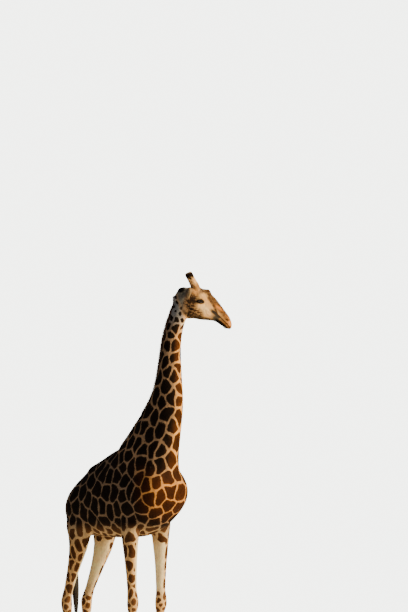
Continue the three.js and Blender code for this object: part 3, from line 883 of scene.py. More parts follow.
# %% Open the eyes
EYE_RADIUS = 30.0
EYE_FORWARD_TURN = math.radians(8)
LID_THICKNESS = 4.0
SINK_BEHIND = 9.0
SLIT_TURN = math.radians(31)  # the slit is level when the muzzle hangs
ALMOND_HALF = 34  # half the slit's length, along the ball
UPPER_OPENING = 13.0
LOWER_OPENING = 10.0
LID_REACH = 50
LID_FOLDS = [  # how far outside the opening, half width and height; upper lid, then lower lid
    (1, 9.5, 2.0, -2.2), (1, 14, 3.0, 1.4), (-1, 8, 2.0, -1.6), (-1, 12, 2.5, 1.2), (-1, 17, 2.2, -1.2),
]


def lid_height(forward, upper):
    """How far the edge of the upper or the lower lid is from the slit's middle line."""
    across = forward / ALMOND_HALF
    arch = np.clip(1 - across * across, 0, 1)
    return np.where(upper, UPPER_OPENING * arch ** 0.6, LOWER_OPENING * arch ** 0.8)


def almond(forward, upward):
    """How far outside the eye's opening a place is, in millimetres; minus values are inside."""
    above = np.abs(upward) - lid_height(forward, upward > 0)
    past_corner = np.abs(forward) - ALMOND_HALF
    return np.where(past_corner > 0, np.hypot(np.maximum(above, 0), past_corner), above)


EYE_AXES = np.array(Matrix.Rotation(-SLIT_TURN, 3, "Y") @ Matrix.Rotation(-EYE_FORWARD_TURN, 3, "Z")).T


def eye_view(local, side):
    """Places seen from an eyeball's middle: along the slit, outward and across the slit."""
    spot = (local - EYES[0] * [1, side, 1]) * [1, side, 1]
    return spot @ EYE_AXES.T


def from_eye_view(view, side):
    """The way back from eye_view to places on the head."""
    return view @ EYE_AXES * [1, side, 1] + EYES[0] * [1, side, 1]


opening = np.full(len(skin_points), 99.0)
for side in SIDES.values():
    local = to_head(skin_points)
    view = eye_view(local, side)
    distance = norm(view, axis=1)
    near = np.flatnonzero((distance < LID_REACH + 20) & (view[:, 1] > -6))
    spot, away = view[near], distance[near]
    # Everything is read along the ball's own curve, so that the lids follow it.
    aim = unit(spot)
    turn, rise = np.arctan2(aim[:, 0], aim[:, 1]), np.arcsin(aim[:, 2])
    outside = almond(EYE_RADIUS * turn, EYE_RADIUS * rise)
    opening[near] = outside + 0.6 * np.maximum(away - 38, 0)
    lid = EYE_RADIUS + LID_THICKNESS + 1.5 * np.exp(-((outside - 3) / 3) ** 2)
    for half, middle, width, height in LID_FOLDS:
        lid += height * np.exp(-(((outside - middle) / width) ** 2)) * (aim[:, 2] * half > 0)
    softness = 4.0
    both = softness * np.logaddexp(away / softness, lid / softness)
    radius = blend(both, away, ease(LID_REACH - 12, LID_REACH + 6, away))
    sunk = ease(1.6, -1.2, outside)
    radius = blend(radius, EYE_RADIUS - SINK_BEHIND, sunk * (spot[:, 1] > 0))
    placed = from_eye_view(aim * radius[:, None], side)
    skin_points[near] = from_head(placed)
print("points inside the two openings:", int((opening < 0).sum()))

# %% [markdown]
# The finished form becomes one object, in place of every plain piece of flesh.

# %% Make the skin
skin = add_mesh("skin", skin_points, skin_faces)
skin_normals = normals_of(skin_points, skin_faces)
skin_tree = BVHTree.FromPolygons(skin_points.tolist(), skin_faces.tolist())


def dress(piece, slot, *nodes):
    """Let a piece ride on the giraffe and stand for plain nodes; slot is not used."""
    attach(piece, "root")
    if nodes:
        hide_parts(*nodes)


dress(skin, "coat", *FLESH)
print("skin of", len(skin_faces), "triangles replaces", len(FLESH), "plain pieces")

# %% [markdown]
# Horns, ears, eyeballs and hooves are lofts: rows of closed sections of many sizes, joined by
# strips. A few sizes along a line say more than hundreds of points would.

# %% A loft over closed sections
def loft(sections):
    """Strips of triangles over sections that all have the same number of points, with domed ends."""
    sections = np.asarray(sections)
    rows, around = sections.shape[:2]
    points = sections.reshape(-1, 3)
    row = np.arange(rows - 1)[:, None] * around
    column = np.arange(around)[None]
    after = (column + 1) % around
    a, b, c, d = (row + column, row + after, row + around + column, row + around + after)
    faces = [np.stack([a, b, d], axis=2).reshape(-1, 3), np.stack([a, d, c], axis=2).reshape(-1, 3)]
    points = np.vstack([points, sections[0].mean(axis=0), sections[-1].mean(axis=0)])
    first, last = len(points) - 2, len(points) - 1
    ring = np.arange(around)
    end = (rows - 1) * around
    faces.append(np.c_[np.full(around, first), (ring + 1) % around, ring])
    faces.append(np.c_[np.full(around, last), end + ring, end + (ring + 1) % around])
    faces = np.vstack(faces)
    corners = points[faces]
    volume = (corners[:, 0] * np.cross(corners[:, 1], corners[:, 2])).sum()
    return points, faces if volume > 0 else faces[:, ::-1]


def stations(table, count):
    """Read a table of (share, value, value ...) smoothly at evenly spaced shares."""
    table = np.asarray(table, dtype=float)
    shares = np.linspace(0, 1, count)
    line = rounded_line(table, 400).T
    return np.stack([np.interp(shares, line[0], values) for values in line[1:]], axis=1)


def pair(make, name, slot, node):
    """The left and the right piece of one kind, each in place of its plain piece."""
    pieces = {}
    for side_name, side in SIDES.items():
        pieces[side_name] = add_mesh(f"{name}_{side_name}", *make(side))
        dress(pieces[side_name], slot, f"{node}_{side_name}")
    print(f"{name}: two pieces of", len(pieces["left"].data.polygons), "triangles each")
    return pieces


# %% [markdown]
# The horns, called ossicones, are bone under skin. They rise from a broad foot that flows into the
# skull, lean back, and end in a smooth bald knob ringed with dark hair. The foot reaches down into
# the skin, so that the two meet without a gap.

# %% Grow the horns
HORN_LINE = np.array([
    [-112, 54, 36], [-138, 60, 78], [-178, 65, 108], [-214, 70, 123], [-266, 78, 146], [-310, 85, 166],
    [-330, 88, 175],
])
HORN_SIZES = [  # share of the length, half depth, half width
    (0.00, 47, 45), (0.18, 45, 43), (0.34, 41, 39), (0.48, 37, 35.5), (0.68, 32, 32), (0.84, 31.5, 31.5),
    (0.94, 30.5, 30.5), (1.00, 28, 28),
]
KNOB_RISE = 20
HORN_ROWS = 70
HORN_AROUND = 48
KNOB_ROWS = 8


def horn(side):
    """One horn with a domed end and a few bony lumps along it."""
    line = rounded_line(HORN_LINE * [1, side, 1], HORN_ROWS)
    sizes = stations(HORN_SIZES, HORN_ROWS)
    along = unit(np.gradient(line, axis=0))
    up = unit(np.cross([0.0, 1.0, 0.0], along))
    across = np.cross(along, up)
    turn = np.linspace(0, 2 * math.pi, HORN_AROUND, endpoint=False)
    share = np.linspace(0, 1, HORN_ROWS)[:, None]
    lumps = 1 + 0.035 * np.sin(3 * turn + 5 * share + side) * np.sin(7 * share * math.pi)
    lumps += 0.02 * np.sin(5 * turn - 9 * share)
    flat = across[:, None] * (np.cos(turn) * lumps * sizes[:, 1:])[..., None]
    high = up[:, None] * (np.sin(turn) * lumps * sizes[:, :1])[..., None]
    rows = line[:, None] + flat + high
    rise = np.linspace(0, math.pi / 2, KNOB_ROWS + 1)[1:-1, None, None]
    dome = line[-1] + (rows[-1] - line[-1]) * np.cos(rise) + along[-1] * KNOB_RISE * np.sin(rise)
    return loft(from_head(np.vstack([rows, dome])))


horns = pair(horn, "horn", "horn_hair", "ossicone")

# %% [markdown]
# The ears are thin leaves rolled into a tube at the root. Each is one loft whose sections are
# curved strips: an outer face, a rounded rim and an inner face a few millimetres behind it.

# %% Grow the ears
EAR_ROOT = np.array([-200, 92, 6])
EAR_AIM = np.array([36, 155, -120])
EAR_LENGTH = 212
EAR_SUNK = 30  # mm of the root that lie under the skin
EAR_HALF_WIDTH = [(0, 22), (0.12, 27), (0.28, 40), (0.45, 46), (0.7, 35), (0.9, 15), (1, 2.5)]
EAR_THICKNESS = [(0, 34), (0.12, 20), (0.28, 7), (0.6, 4.5), (1, 2.4)]
EAR_CUP = [(0, 6), (0.15, 17), (0.4, 23), (0.75, 13), (1, 1)]
EAR_ROWS = 46
EAR_ACROSS = 20


def ear(side):
    """One ear, cupped towards the front, with a wavy inner fold."""
    aim = unit(EAR_AIM * [1.0, side, 1.0])
    front = unit(np.array([1.0, 0, 0]) - aim[0] * aim)
    across = np.cross(aim, front)
    root = EAR_ROOT * [1.0, side, 1.0] - aim * EAR_SUNK
    share = np.linspace(0, 1, EAR_ROWS)
    tables = (EAR_HALF_WIDTH, EAR_THICKNESS, EAR_CUP)
    half, thick, cup = (stations(table, EAR_ROWS)[:, 0] for table in tables)
    u = np.cos(np.linspace(0, math.pi, EAR_ACROSS + 1))
    sections = []
    for k in range(EAR_ROWS):
        middle = root + aim * share[k] * (EAR_LENGTH + EAR_SUNK)
        bend = cup[k] * (u * u - 0.5)
        body = thick[k] / 2 * np.sqrt(np.clip(1 - u ** 4, 0.02, 1))
        fold = 2.2 * np.sin(5 * u) * math.sin(math.pi * share[k]) ** 2
        width = across * (half[k] * u)[:, None]
        inner = middle + width + front * (bend + body + fold)[:, None]
        outer = middle + width + front * (bend - body)[:, None]
        sections.append(np.vstack([inner, outer[::-1][1:-1]]))
    return loft(from_head(np.array(sections)))


ears = pair(ear, "ear_skin", "face", "ear")

# %% [markdown]
# An eyeball is a ball with a clear dome in front. The dome matters more than colour: it catches the
# one bright point of light that looks alive.

# %% Set the eyeballs
EYE_ROWS = 32
EYE_AROUND = 48
CORNEA_RISE = 1.6
CORNEA_SHARE = 0.62


def eyeball(side):
    """One eyeball that looks outwards and a little forward."""
    polar = np.linspace(0.02, math.pi - 0.02, EYE_ROWS)
    turn = np.linspace(0, 2 * math.pi, EYE_AROUND, endpoint=False)
    radius = EYE_RADIUS + CORNEA_RISE * ease(CORNEA_SHARE, 0.1, polar)
    outward = (radius * np.cos(polar))[:, None] * np.ones(EYE_AROUND)
    forward = (radius * np.sin(polar))[:, None] * np.cos(turn)
    upward = (radius * np.sin(polar))[:, None] * np.sin(turn)
    view = np.stack([forward, outward, upward], axis=2)
    placed = from_eye_view(view.reshape(-1, 3), side).reshape(view.shape)
    return loft(from_head(placed))


eyeballs = pair(eyeball, "eyeball", "eye", "eye")

# %% [markdown]
# A hoof is two horn-covered toes side by side, with fine growth rings. Each toe is one loft with a
# D-shaped section, and the two flats face each other across a narrow cleft.

# %% Shape the hooves
HOOF_RISE = 162
TOE_REACH = 158  # mm from the middle of the sole to the tip of the toes
HOOF_FORWARD = [(0, 158, 128), (0.06, 160, 129), (0.5, 124, 110), (0.88, 90, 85), (1, 82, 78)]
HOOF_HALF_WIDTH = [(0, 95), (0.06, 96), (0.5, 90), (0.88, 80), (1, 70)]
HOOF_LEAN = 30
CLEFT = 5
HOOF_ROWS = 44
HOOF_AROUND = 48


def toe(middle, inner):
    """One toe; inner says on which side of the cleft it lies."""
    share = np.linspace(0, 1, HOOF_ROWS)
    reach = stations(HOOF_FORWARD, HOOF_ROWS)
    half = stations(HOOF_HALF_WIDTH, HOOF_ROWS)[:, 0]
    turn = np.linspace(0, 2 * math.pi, HOOF_AROUND, endpoint=False)
    side = np.cos(turn)
    ahead = np.sin(turn)
    sections = []
    for k in range(HOOF_ROWS):
        ring = 1 + 0.006 * math.sin(share[k] * 60)
        length = np.where(ahead > 0, reach[k, 0], reach[k, 1]) * ring
        forward = np.sign(ahead) * np.abs(ahead) ** 0.85 * length
        spread = np.maximum(side, 0) ** 0.8
        toe_in = 1 - 0.34 * ease(0.5, 1, forward / reach[k, 0])
        gap = CLEFT + 5 * ease(60, 150, forward)
        across = inner * (gap + (half[k] * ring - gap) * spread * toe_in)
        height = np.full(HOOF_AROUND, HOOF_RISE * share[k])
        sections.append(np.c_[forward - HOOF_LEAN * share[k], across, height])
    return loft(np.array(sections) * MM + middle)


hooves = []
for leg in LEG_NAMES:
    low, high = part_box(f"hoof_{leg}")
    sole_middle = np.array([high.x - TOE_REACH * MM, (low.y + high.y) / 2, 0.0])
    hooves.append(add_mesh(f"hoof_{leg}_toes", *joined([toe(sole_middle, 1), toe(sole_middle, -1)])))
    dress(hooves[-1], "hoof_horn", f"hoof_{leg}")
print(len(hooves), "hooves of two toes")

# %% [markdown]
# A giraffe's coat is a map of dark patches on a pale ground. Patches grow from scattered points
# until they nearly meet, which leaves pale lines of even width, straight between two patches and
# rounded where three meet. So seeds are scattered over the skin, as far apart as the patches of
# that part of the body are wide, and each place measures how far it is inside the patch of its
# nearest seed. A line is thinner than the skin's net is fine, so each triangle keeps its corners'
# distances to the partings themselves, which stay true in between. Where patches shrink to spots,
# on the upper neck, the jaw and the shins, the distance to the seed sets the limit.

# %% Measure the parts of the body
def waves(points, size, seed):
    """Smooth, even noise between about -1 and 1, whose waves are about one size long."""
    pick = seeded(seed)
    total = np.zeros(len(points))
    for _ in range(9):
        direction = pick.normal(size=3)
        direction *= 2 * math.pi / size / norm(direction) * pick.uniform(0.7, 1.3)
        total += np.sin(points @ direction + pick.uniform(0, 2 * math.pi))
    return total / 3


TAIL_LINE = rounded_line(from_withers([
    [-870, 0, 2440], [-940, 0, 2420], [-995, 4, 2330], [-1012, 8, 2180], [-1006, 14, 1900],
    [-992, 20, 1620],
]))

room = skin_points
above_floor = room[:, 2]
folded = over_body(room)
nape_depth = past_nape(room)
on_head = ease(-50, 10, nape_depth)
neck_share, _ = nearest_on_line(room, neck_line)
above_shoulder = (0.3 * folded[:, 0] + folded[:, 2] - 3000) / 1.044
on_neck = ease(-160, 120, above_shoulder) * (1 - on_head)
on_leg = ease(1.98, 1.72, above_floor)
down_leg = ease(1.75, 0.25, above_floor)
_, to_tail = nearest_on_line(room, TAIL_LINE)
on_tail = ease(0.075, 0.050, norm(to_tail, axis=1)) * (folded[:, 0] < -880)
belly = ease(2080, 1930, folded[:, 2]) * (1 - on_leg) * (folded[:, 0] < 760)
inner_leg = on_leg * ease(0.3, -0.4, skin_normals[:, 1] * np.sign(room[:, 1] - withers[1]))
inner_leg *= ease(1.0, 1.35, above_floor)
front_of_body = ease(620, 940, folded[:, 0] + 0.25 * (folded[:, 2] - 2400))
front_of_body *= (1 - on_leg) * (1 - on_neck)
# Painted light: where the neck faces the key lamp, its lines are painted paler and warmer and its patches
# chestnut; the upper throat's real pale hair is painted white only on that lit side.
facing_lamp_side = skin_normals @ unit(np.array([0.8, 0.6, 0.0]))
throat_painted_lit = ease(0.20, 0.90, facing_lamp_side)
white_throat_painted_lit = ease(0.55, 0.95, facing_lamp_side)
upper_neck = ease(0.80, 0.93, neck_share) * on_neck
print("shares of skin: neck", round(on_neck.mean(), 2), "legs", round(on_leg.mean(), 2))

# %% Choose the size of the markings
def over_regions(start, *steps):
    """Start from one value and blend in others, each with its region's share."""
    value = np.full(len(room), float(start))
    for share, other in steps:
        value = blend(value, other, share)
    return value


marking_width = over_regions(
    0.168,
    (ease(2650, 2900, folded[:, 2]), 0.145),
    (ease(-500, -800, folded[:, 0]), 0.125),
    (front_of_body, 0.160),
    (belly, 0.12),
    (on_neck, blend(0.145, 0.105, ease(0.35, 0.8, neck_share))),
    (upper_neck, 0.066),
    (on_leg, blend(0.115, 0.045, ease(0, 0.8, down_leg))),
    (on_tail, 0.04),
    (on_head, 0.026),
)
half_line = over_regions(
    0.0085,
    (on_neck, 0.0100),
    (front_of_body, 0.0100),
    (belly, 0.018),
    (on_leg, blend(0.0125, 0.008, down_leg)),
    (on_tail, 0.008),
    (on_head, 0.006),
)
jaw_angle = swelling(head_places, (-120, 100, -140), (80, 60, 90), 1) * on_head
temple = swelling(head_places, (-130, 110, -40), (70, 60, 50), 1) * on_head
spot_share = over_regions(
    1.6,
    (upper_neck, 0.30),
    (belly, 0.42),
    (on_leg, blend(1.1, 0.42, ease(0.25, 0.6, down_leg))),
    (inner_leg, -0.3),
    (on_tail, 0.36),
    (ease(0.93, 1.0, down_leg), -0.1),
    (on_head, -0.35 + 0.98 * np.clip(jaw_angle + temple, 0, 1)),
)
print("patches", marking_width.min().round(3), "to", marking_width.max().round(3), "m apart")

# %% Scatter and spread the seeds
SEED_TRIES = 12000
SEED_CLOSENESS = 0.80
CORNER_ROUNDING = 0.030


def areas(points, faces):
    """The area of each triangle."""
    a, b, c = (points[faces[:, k]] for k in range(3))
    return norm(np.cross(b - a, c - a), axis=1) / 2


def run_of(line, share):
    """The direction of a line at some shares of its length."""
    return np.gradient(line, axis=0)[(share * (len(line) - 1)).astype(int)]


face_area = areas(skin_points, skin_faces)
point_area = sum(np.bincount(skin_faces[:, k], face_area, len(skin_points)) for k in range(3)) / 3
upright = np.tile([0.0, 0.0, 1.0], (len(room), 1))
long_way = unit(blend(upright, run_of(neck_line, neck_share) * 100, on_neck))
squeeze = over_regions(0.80, (on_neck, 0.70), (on_leg, 0.80), (upper_neck, 0.9), (on_head, 1.0))


def scattered_seeds():
    """Seeds at random places of the skin, none closer to another than its marking is wide."""
    chance = point_area / point_area.sum()
    tries = RANDOM.choice(len(room), size=SEED_TRIES, replace=False, p=chance)
    chosen = np.empty(0, dtype=int)
    for index in tries:
        away = room[chosen] - room[index]
        along = away @ long_way[index]
        distance = (away * away).sum(axis=1) - (1 - squeeze[index] ** 2) * along * along
        if not len(chosen) or distance.min() > (SEED_CLOSENESS * marking_width[index]) ** 2:
            chosen = np.append(chosen, index)
    return room[chosen]


def nearest_seeds(seeds, count):
    """The nearest seeds of each point of the skin, and how far away each is, as the coat stretches."""
    nearest = np.empty((len(room), count), dtype=int)
    squared = np.empty((len(room), count))
    for start in range(0, len(room), 6000):
        rows = slice(start, start + 6000)
        here, way = room[rows], long_way[rows]
        plain = (here * here).sum(axis=1)[:, None] + (seeds * seeds).sum(axis=1) - 2 * here @ seeds.T
        along = (here * way).sum(axis=1)[:, None] - way @ seeds.T
        away = np.maximum(plain - (1 - squeeze[rows, None] ** 2) * along * along, 0)
        best = np.argpartition(away, count, axis=1)[:, :count]
        values = np.take_along_axis(away, best, axis=1)
        order = values.argsort(axis=1)
        nearest[rows] = np.take_along_axis(best, order, axis=1)
        squared[rows] = np.take_along_axis(values, order, axis=1)
    return nearest, squared


def astray(points):
    """Places pushed about a little, so that the lines between patches aren't ruled straight."""
    return points + 0.012 * np.stack([waves(points, 0.20, seed) for seed in (11, 12, 13)], axis=1)


def settled(seeds):
    """Move each seed to the middle of its patch, which evens out the sizes."""
    owner = nearest_seeds(seeds, 1)[0][:, 0]
    weight = np.bincount(owner, point_area, len(seeds))
    middles = [np.bincount(owner, point_area * room[:, k], len(seeds)) for k in range(3)]
    middles = np.stack(middles, axis=1) / np.maximum(weight, 1e-12)[:, None]
    return np.where(weight[:, None] > 0, middles, seeds)


seeds = scattered_seeds()
room = astray(skin_points)
seeds = settled(seeds)
nearest, squared = nearest_seeds(seeds, 4)


def partings(points):
    """Each triangle's corners: the distances to the partings between its three nearest seeds."""
    near = nearest[skin_faces[:, 0]]
    way, tight = long_way[skin_faces][:, :, None], 1 - squeeze[skin_faces][:, :, None] ** 2
    away = points[skin_faces][:, :, None] - seeds[near][:, None]
    away = (away * away).sum(axis=3) - tight * (away * way).sum(axis=3) ** 2
    order = away.mean(axis=1).argsort(axis=1)[:, :3]
    near = np.take_along_axis(near, order, axis=1)
    away = np.take_along_axis(away, order[:, None], axis=2)
    pairs = np.array([(0, 1), (0, 2), (1, 2)]).T
    apart = (seeds[near[:, pairs[1]]] - seeds[near[:, pairs[0]]])[:, None]
    gap = (apart * apart).sum(axis=3) - tight * (apart * way).sum(axis=3) ** 2
    return (away[:, :, pairs[1]] - away[:, :, pairs[0]]) / (2 * np.sqrt(np.maximum(gap, 1e-8)))


def inside_partings(parting):
    """How far inside its own patch a place is; a parting's sign tells which seed is nearer."""
    one_two, one_three, two_three = np.moveaxis(parting, -1, 0)
    in_one = np.minimum(one_two, one_three)
    in_two = np.minimum(-one_two, two_three)
    return np.maximum(np.maximum(in_one, in_two), np.minimum(-one_three, -two_three))


parting = partings(room)
room = skin_points
seed_luck = RANDOM.uniform(0.75, 1.25, len(seeds))[nearest[:, 0]]
wander = 0.003 * waves(room, 0.11, 1) + 0.002 * waves(room, 0.045, 2)
wander += 0.003 * on_head * waves(room, 0.02, 6)
line_half = half_line - wander
spot_edge = spot_share * marking_width * seed_luck - np.sqrt(squared[:, 0]) + wander
edge = np.empty(len(room))
edge[skin_faces] = inside_partings(parting)
edge = np.minimum(edge - line_half, spot_edge)
dark_share = (point_area * (edge > 0)).sum() / point_area.sum()
print(len(seeds), "markings; dark share of the coat", round(float(dark_share), 2))

# %% [markdown]
# Colours are blended by region too. Old bulls turn almost black on the flank and the neck, stay
# chestnut on the breast and the legs, and pale at the lips. Every patch has a shade of its own, is
# a little darker in its middle, and each part of the ground between them has its own cream or tan.

# %% Colour the coat
def shaded(count, start, *steps):
    """Colours of some points: one to start from and others blended in, each with its share."""
    value = np.tile(colour_of(*start), (count, 1))
    for share, other in steps:
        value = blend(value, colour_of(*other), np.clip(share, 0, 1))
    return value


def along_side(line, radius):
    """How near each place of the head is to a line drawn on its side, from 0 to 1."""
    away = off_line(head_places * [1, 0, 1], [(x, 0, z) for x, z in line])[0]
    return np.exp(-((away / radius) ** 4)) * on_head


def side_spot(middle, reach):
    """How near each place of the head is to a spot on its side, from 0 to 1."""
    away = (head_places[:, [0, 2]] - middle) / reach
    return np.exp(-(away * away).sum(axis=1)) * on_head


x_head, _, z_head = head_places.T
above_mouth = z_head - (MOUTH_HEIGHT + MOUTH_SLOPE * (x_head - MOUTH_BACK))
lips = np.exp(-((above_mouth / 12) ** 2)) * ease(250, 300, x_head) * on_head
blotches = waves(room, 0.050, 7) + 0.7 * waves(room, 0.022, 8)
mottle = ease(-0.35, 0.75, blotches)
thick_mottle = ease(-0.85, 0.25, blotches)
speckle = ease(-0.75, 0.15, waves(room, 0.032, 9) + 0.8 * waves(room, 0.017, 10))
muzzle = ease(315, 415, x_head + 16 * blotches) * on_head
jaw_line = [(-108, -62), (-97, -126), (-12, -182), (58, -160)]
chin_line = [(-120, -256), (10, -226), (138, -166), (192, -136), (290, -104)]
nose_line = [(0, 158), (88, 114), (225, 88), (330, 68), (420, 44)]
bridge_line = [(40, 84), (139, 57), (212, 18), (240, 0)]
crease_line = [(150, -15), (214, -12), (290, -20)]
lip_line = [(300, -74), (336, -66), (400, -70), (446, -72)]

ground = shaded(
    len(room),
    (136, 112, 92),
    (front_of_body, (204, 142, 76)),
    (belly, (214, 180, 134)),
    (on_neck, (150, 120, 94)),
    # painted light on the side of the neck that faces the key lamp
    (on_neck * throat_painted_lit, (232, 168, 90)),
    # painted shade: grey ground for the head's shadow on the upper neck
    (upper_neck, (126, 126, 130)),
    # pale throat hair, painted only on the side lit by the key lamp
    (upper_neck * white_throat_painted_lit, (250, 230, 192)),
    (on_leg, (232, 184, 124)),
    (ease(0.55, 0.9, down_leg), (222, 188, 142)),
    (inner_leg, (255, 234, 190)),
    (on_tail, (160, 124, 84)),
    (on_head, (208, 160, 104)),
    (ease(-10, -100, x_head) * on_head, (132, 106, 82)),
    # painted shade: grey on the back of the head and the nape behind the ear
    (ease(-150, -230, x_head + 0.5 * (z_head + 80)) * on_head, (98, 96, 94)),
    (side_spot((92, -58), (92, 58)), (246, 212, 160)),
    (along_side([(-76, -6), (-50, 40), (4, 92)], 30), (236, 190, 128)),
    (along_side([(-118, 20), (-150, 80)], 44), (206, 152, 92)),
    (0.9 * along_side(jaw_line, 74), (150, 116, 80)),
    (0.98 * speckle * along_side(jaw_line, 66), (36, 24, 17)),
    (0.9 * thick_mottle * side_spot((-108, -54), (58, 70)), (26, 18, 15)),
    (0.9 * mottle * side_spot((-98, -4), (34, 28)), (60, 48, 42)),
    ((0.72 + 0.26 * speckle) * along_side(chin_line, 30), (50, 38, 27)),
    ((0.82 + 0.16 * mottle) * along_side(nose_line, 58), (70, 42, 22)),
    # painted highlight: an orange gleam on the bridge of the nose
    (1.3 * side_spot((222, 72), (56, 17)), (206, 130, 58)),
    ((0.6 + 0.36 * mottle) * along_side(bridge_line, 17), (62, 40, 25)),
    (1.3 * speckle * side_spot((-62, 126), (38, 38)), (52, 34, 23)),
    # painted shade in the fold behind the corner of the mouth
    (1.2 * ease(120, 200, x_head) * along_side(crease_line, 21), (48, 41, 36)),
    (1.4 * side_spot((272, -58), (48, 34)), (86, 78, 68)),
    (muzzle, (208, 142, 80)),
    (0.62 * muzzle * mottle, (104, 62, 29)),
    (1.1 * mottle * side_spot((377, 6), (36, 20)), (58, 36, 22)),
    # the chin's dark skin, with painted shade under the lower lip and the chin
    (1.2 * along_side(lip_line, 26), (26, 18, 13)),
    (0.8 * lips, (50, 36, 28)),
    (1.7 * side_spot((-284, -44), (38, 42)), (16, 13, 12)),
    # painted shade in the dip behind the ear
    (0.6 * along_side([(-262, 20), (-220, 50)], 16), (38, 30, 26)),
    (0.85 * along_side([(-38, -40), (-84, -74), (-128, -112)], 15), (26, 18, 15)),
    (0.5 * along_side([(112, -62), (150, -84), (176, -84)], 6), (150, 112, 76)),
    # the lids' dark skin, widened by painted shade from the lids, the lashes and the brow
    (ease(22, 11, opening), (34, 23, 17)),
    (ease(12, 7, opening), (8, 6, 5)),
)
ground *= (1 + 0.08 * waves(room, 0.14, 3) + 0.06 * waves(room, 0.04, 4))[:, None]

dark = shaded(
    len(room),
    (24, 15, 11),
    (0.5 * ease(-300, -800, folded[:, 0]), (36, 24, 16)),
    (front_of_body, (62, 31, 11)),
    (belly, (96, 64, 40)),
    (on_neck, (24, 15, 10)),
    # painted light: chestnut patches on the side of the neck that faces the key lamp
    (on_neck * throat_painted_lit, (72, 38, 13)),
    (upper_neck, (22, 16, 13)),
    (on_leg, (80, 49, 28)),
    (down_leg, (120, 82, 50)),
    (on_tail, (66, 46, 32)),
    (on_head, (44, 30, 22)),
)
patch_shade = RANDOM.uniform(0.82, 1.22, len(seeds))[nearest[:, 0]]
middle_shade = 1.18 - 0.30 * ease(0.0, 0.05, edge)
dark *= (patch_shade * middle_shade * (1 + 0.10 * waves(room, 0.09, 5)))[:, None]
lie_upright = np.clip(on_neck + on_leg + on_tail, 0, 1)
print("ground and patches coloured")

# %% [markdown]
# The skin passes its markings on as named values: how far inside a patch each place is, the two
# colours, and which way the hair lies. The material only decides, with a little noise, on which
# side of the edge it is. So the edge stays crisp even where the skin's net is coarse.

# %% Finish the coat
def give_values(piece, **values):
    """Store named values at the points of a piece."""
    for name, value in values.items():
        kind = "FLOAT" if np.ndim(value) == 1 else "FLOAT_COLOR"
        layer = piece.data.attributes.new(name, kind, "POINT")
        if kind == "FLOAT":
            layer.data.foreach_set("value", np.asarray(value, dtype=np.float32))
        else:
            full = np.c_[np.clip(value, 0, 1), np.ones(len(value))]
            layer.data.foreach_set("color", full.astype(np.float32).ravel())


def inside_patch(recipe):
    """How far inside its patch a place of the skin is: the same sum as inside_partings."""
    one_two, one_three, two_three = recipe.add("SeparateXYZ", {0: recipe.stored("parting", "Vector")}).outputs
    two_one, three_one, three_two = (
        recipe.math("MULTIPLY", away, -1) for away in (one_two, one_three, two_three)
    )
    inside = None
    for first, second in ((one_two, one_three), (two_one, two_three), (three_one, three_two)):
        soft = {0: first, 1: second, 2: CORNER_ROUNDING}
        lesser = recipe.add("Math", soft, operation="SMOOTH_MIN").outputs[0]
        inside = lesser if inside is None else recipe.math("MAXIMUM", inside, lesser)
    in_patch = recipe.math("SUBTRACT", inside, recipe.stored("line_half"))
    return recipe.math("MINIMUM", in_patch, recipe.stored("spot_edge"))


ALONG_HAIR = 60
ACROSS_HAIR = 420


def coat_finish(name, hair_depth, on_skin=False):
    """Short hair: patches on a pale ground, streaked along the lie of the coat."""
    recipe = Recipe(name, 0.72, Sheen_Weight=0.01, Sheen_Roughness=0.5, Specular_IOR_Level=0.05)
    inside = inside_patch(recipe) if on_skin else recipe.stored("edge")
    lying = recipe.noise(1.0, 3, (ALONG_HAIR, ACROSS_HAIR, ACROSS_HAIR))
    standing = recipe.noise(1.0, 3, (ACROSS_HAIR, ACROSS_HAIR, ALONG_HAIR))
    streak = recipe.add("Mix", {0: recipe.stored("upright"), 2: lying, 3: standing}).outputs[0]
    ragged = recipe.noise(90.0, 3)
    wobble = recipe.math("MULTIPLY", recipe.math("SUBTRACT", ragged, 0.5), 0.006)
    fringe = recipe.math("MULTIPLY", recipe.math("SUBTRACT", streak, 0.5), 0.008)
    where = recipe.math("ADD", recipe.math("ADD", inside, wobble), fringe)
    share = recipe.ramp(where, -0.0022, 0.0022)
    coat = recipe.mix(share, recipe.stored("ground", "Color"), recipe.stored("dark", "Color"))
    toned = recipe.math("MULTIPLY", recipe.ramp(streak, 0.25, 0.75, 0.80, 1.18), recipe.stored("tone"))
    shades = recipe.add("CombineColor", {0: toned, 1: toned, 2: toned}).outputs[0]
    recipe.drive("Base Color", recipe.mix(1.0, coat, shades, "MULTIPLY"))
    recipe.drive("Roughness", recipe.ramp(streak, 0.2, 0.8, 0.60, 0.84))
    recipe.bump(streak, hair_depth * MM)
    return recipe.material


markings = {"ground": ground, "dark": dark, "upright": lie_upright}
give_values(skin, **markings, line_half=line_half, spot_edge=spot_edge, tone=np.ones(len(room)))
layer = skin.data.attributes.new("parting", "FLOAT_VECTOR", "CORNER")
layer.data.foreach_set("vector", parting.astype(np.float32).ravel())
skin.data.materials.append(coat_finish("short_coat", 2.0, on_skin=True))
print("coat finish on the skin")

# %% [markdown]
# So that the colours can be baked into a picture, every spot of the coat needs a place of its own on
# a flat sheet. Neck, legs and tail are read as tubes, by the angle round their middle line and the
# length along it; trunk and head are read as globes. Each part has its own field on the sheet.

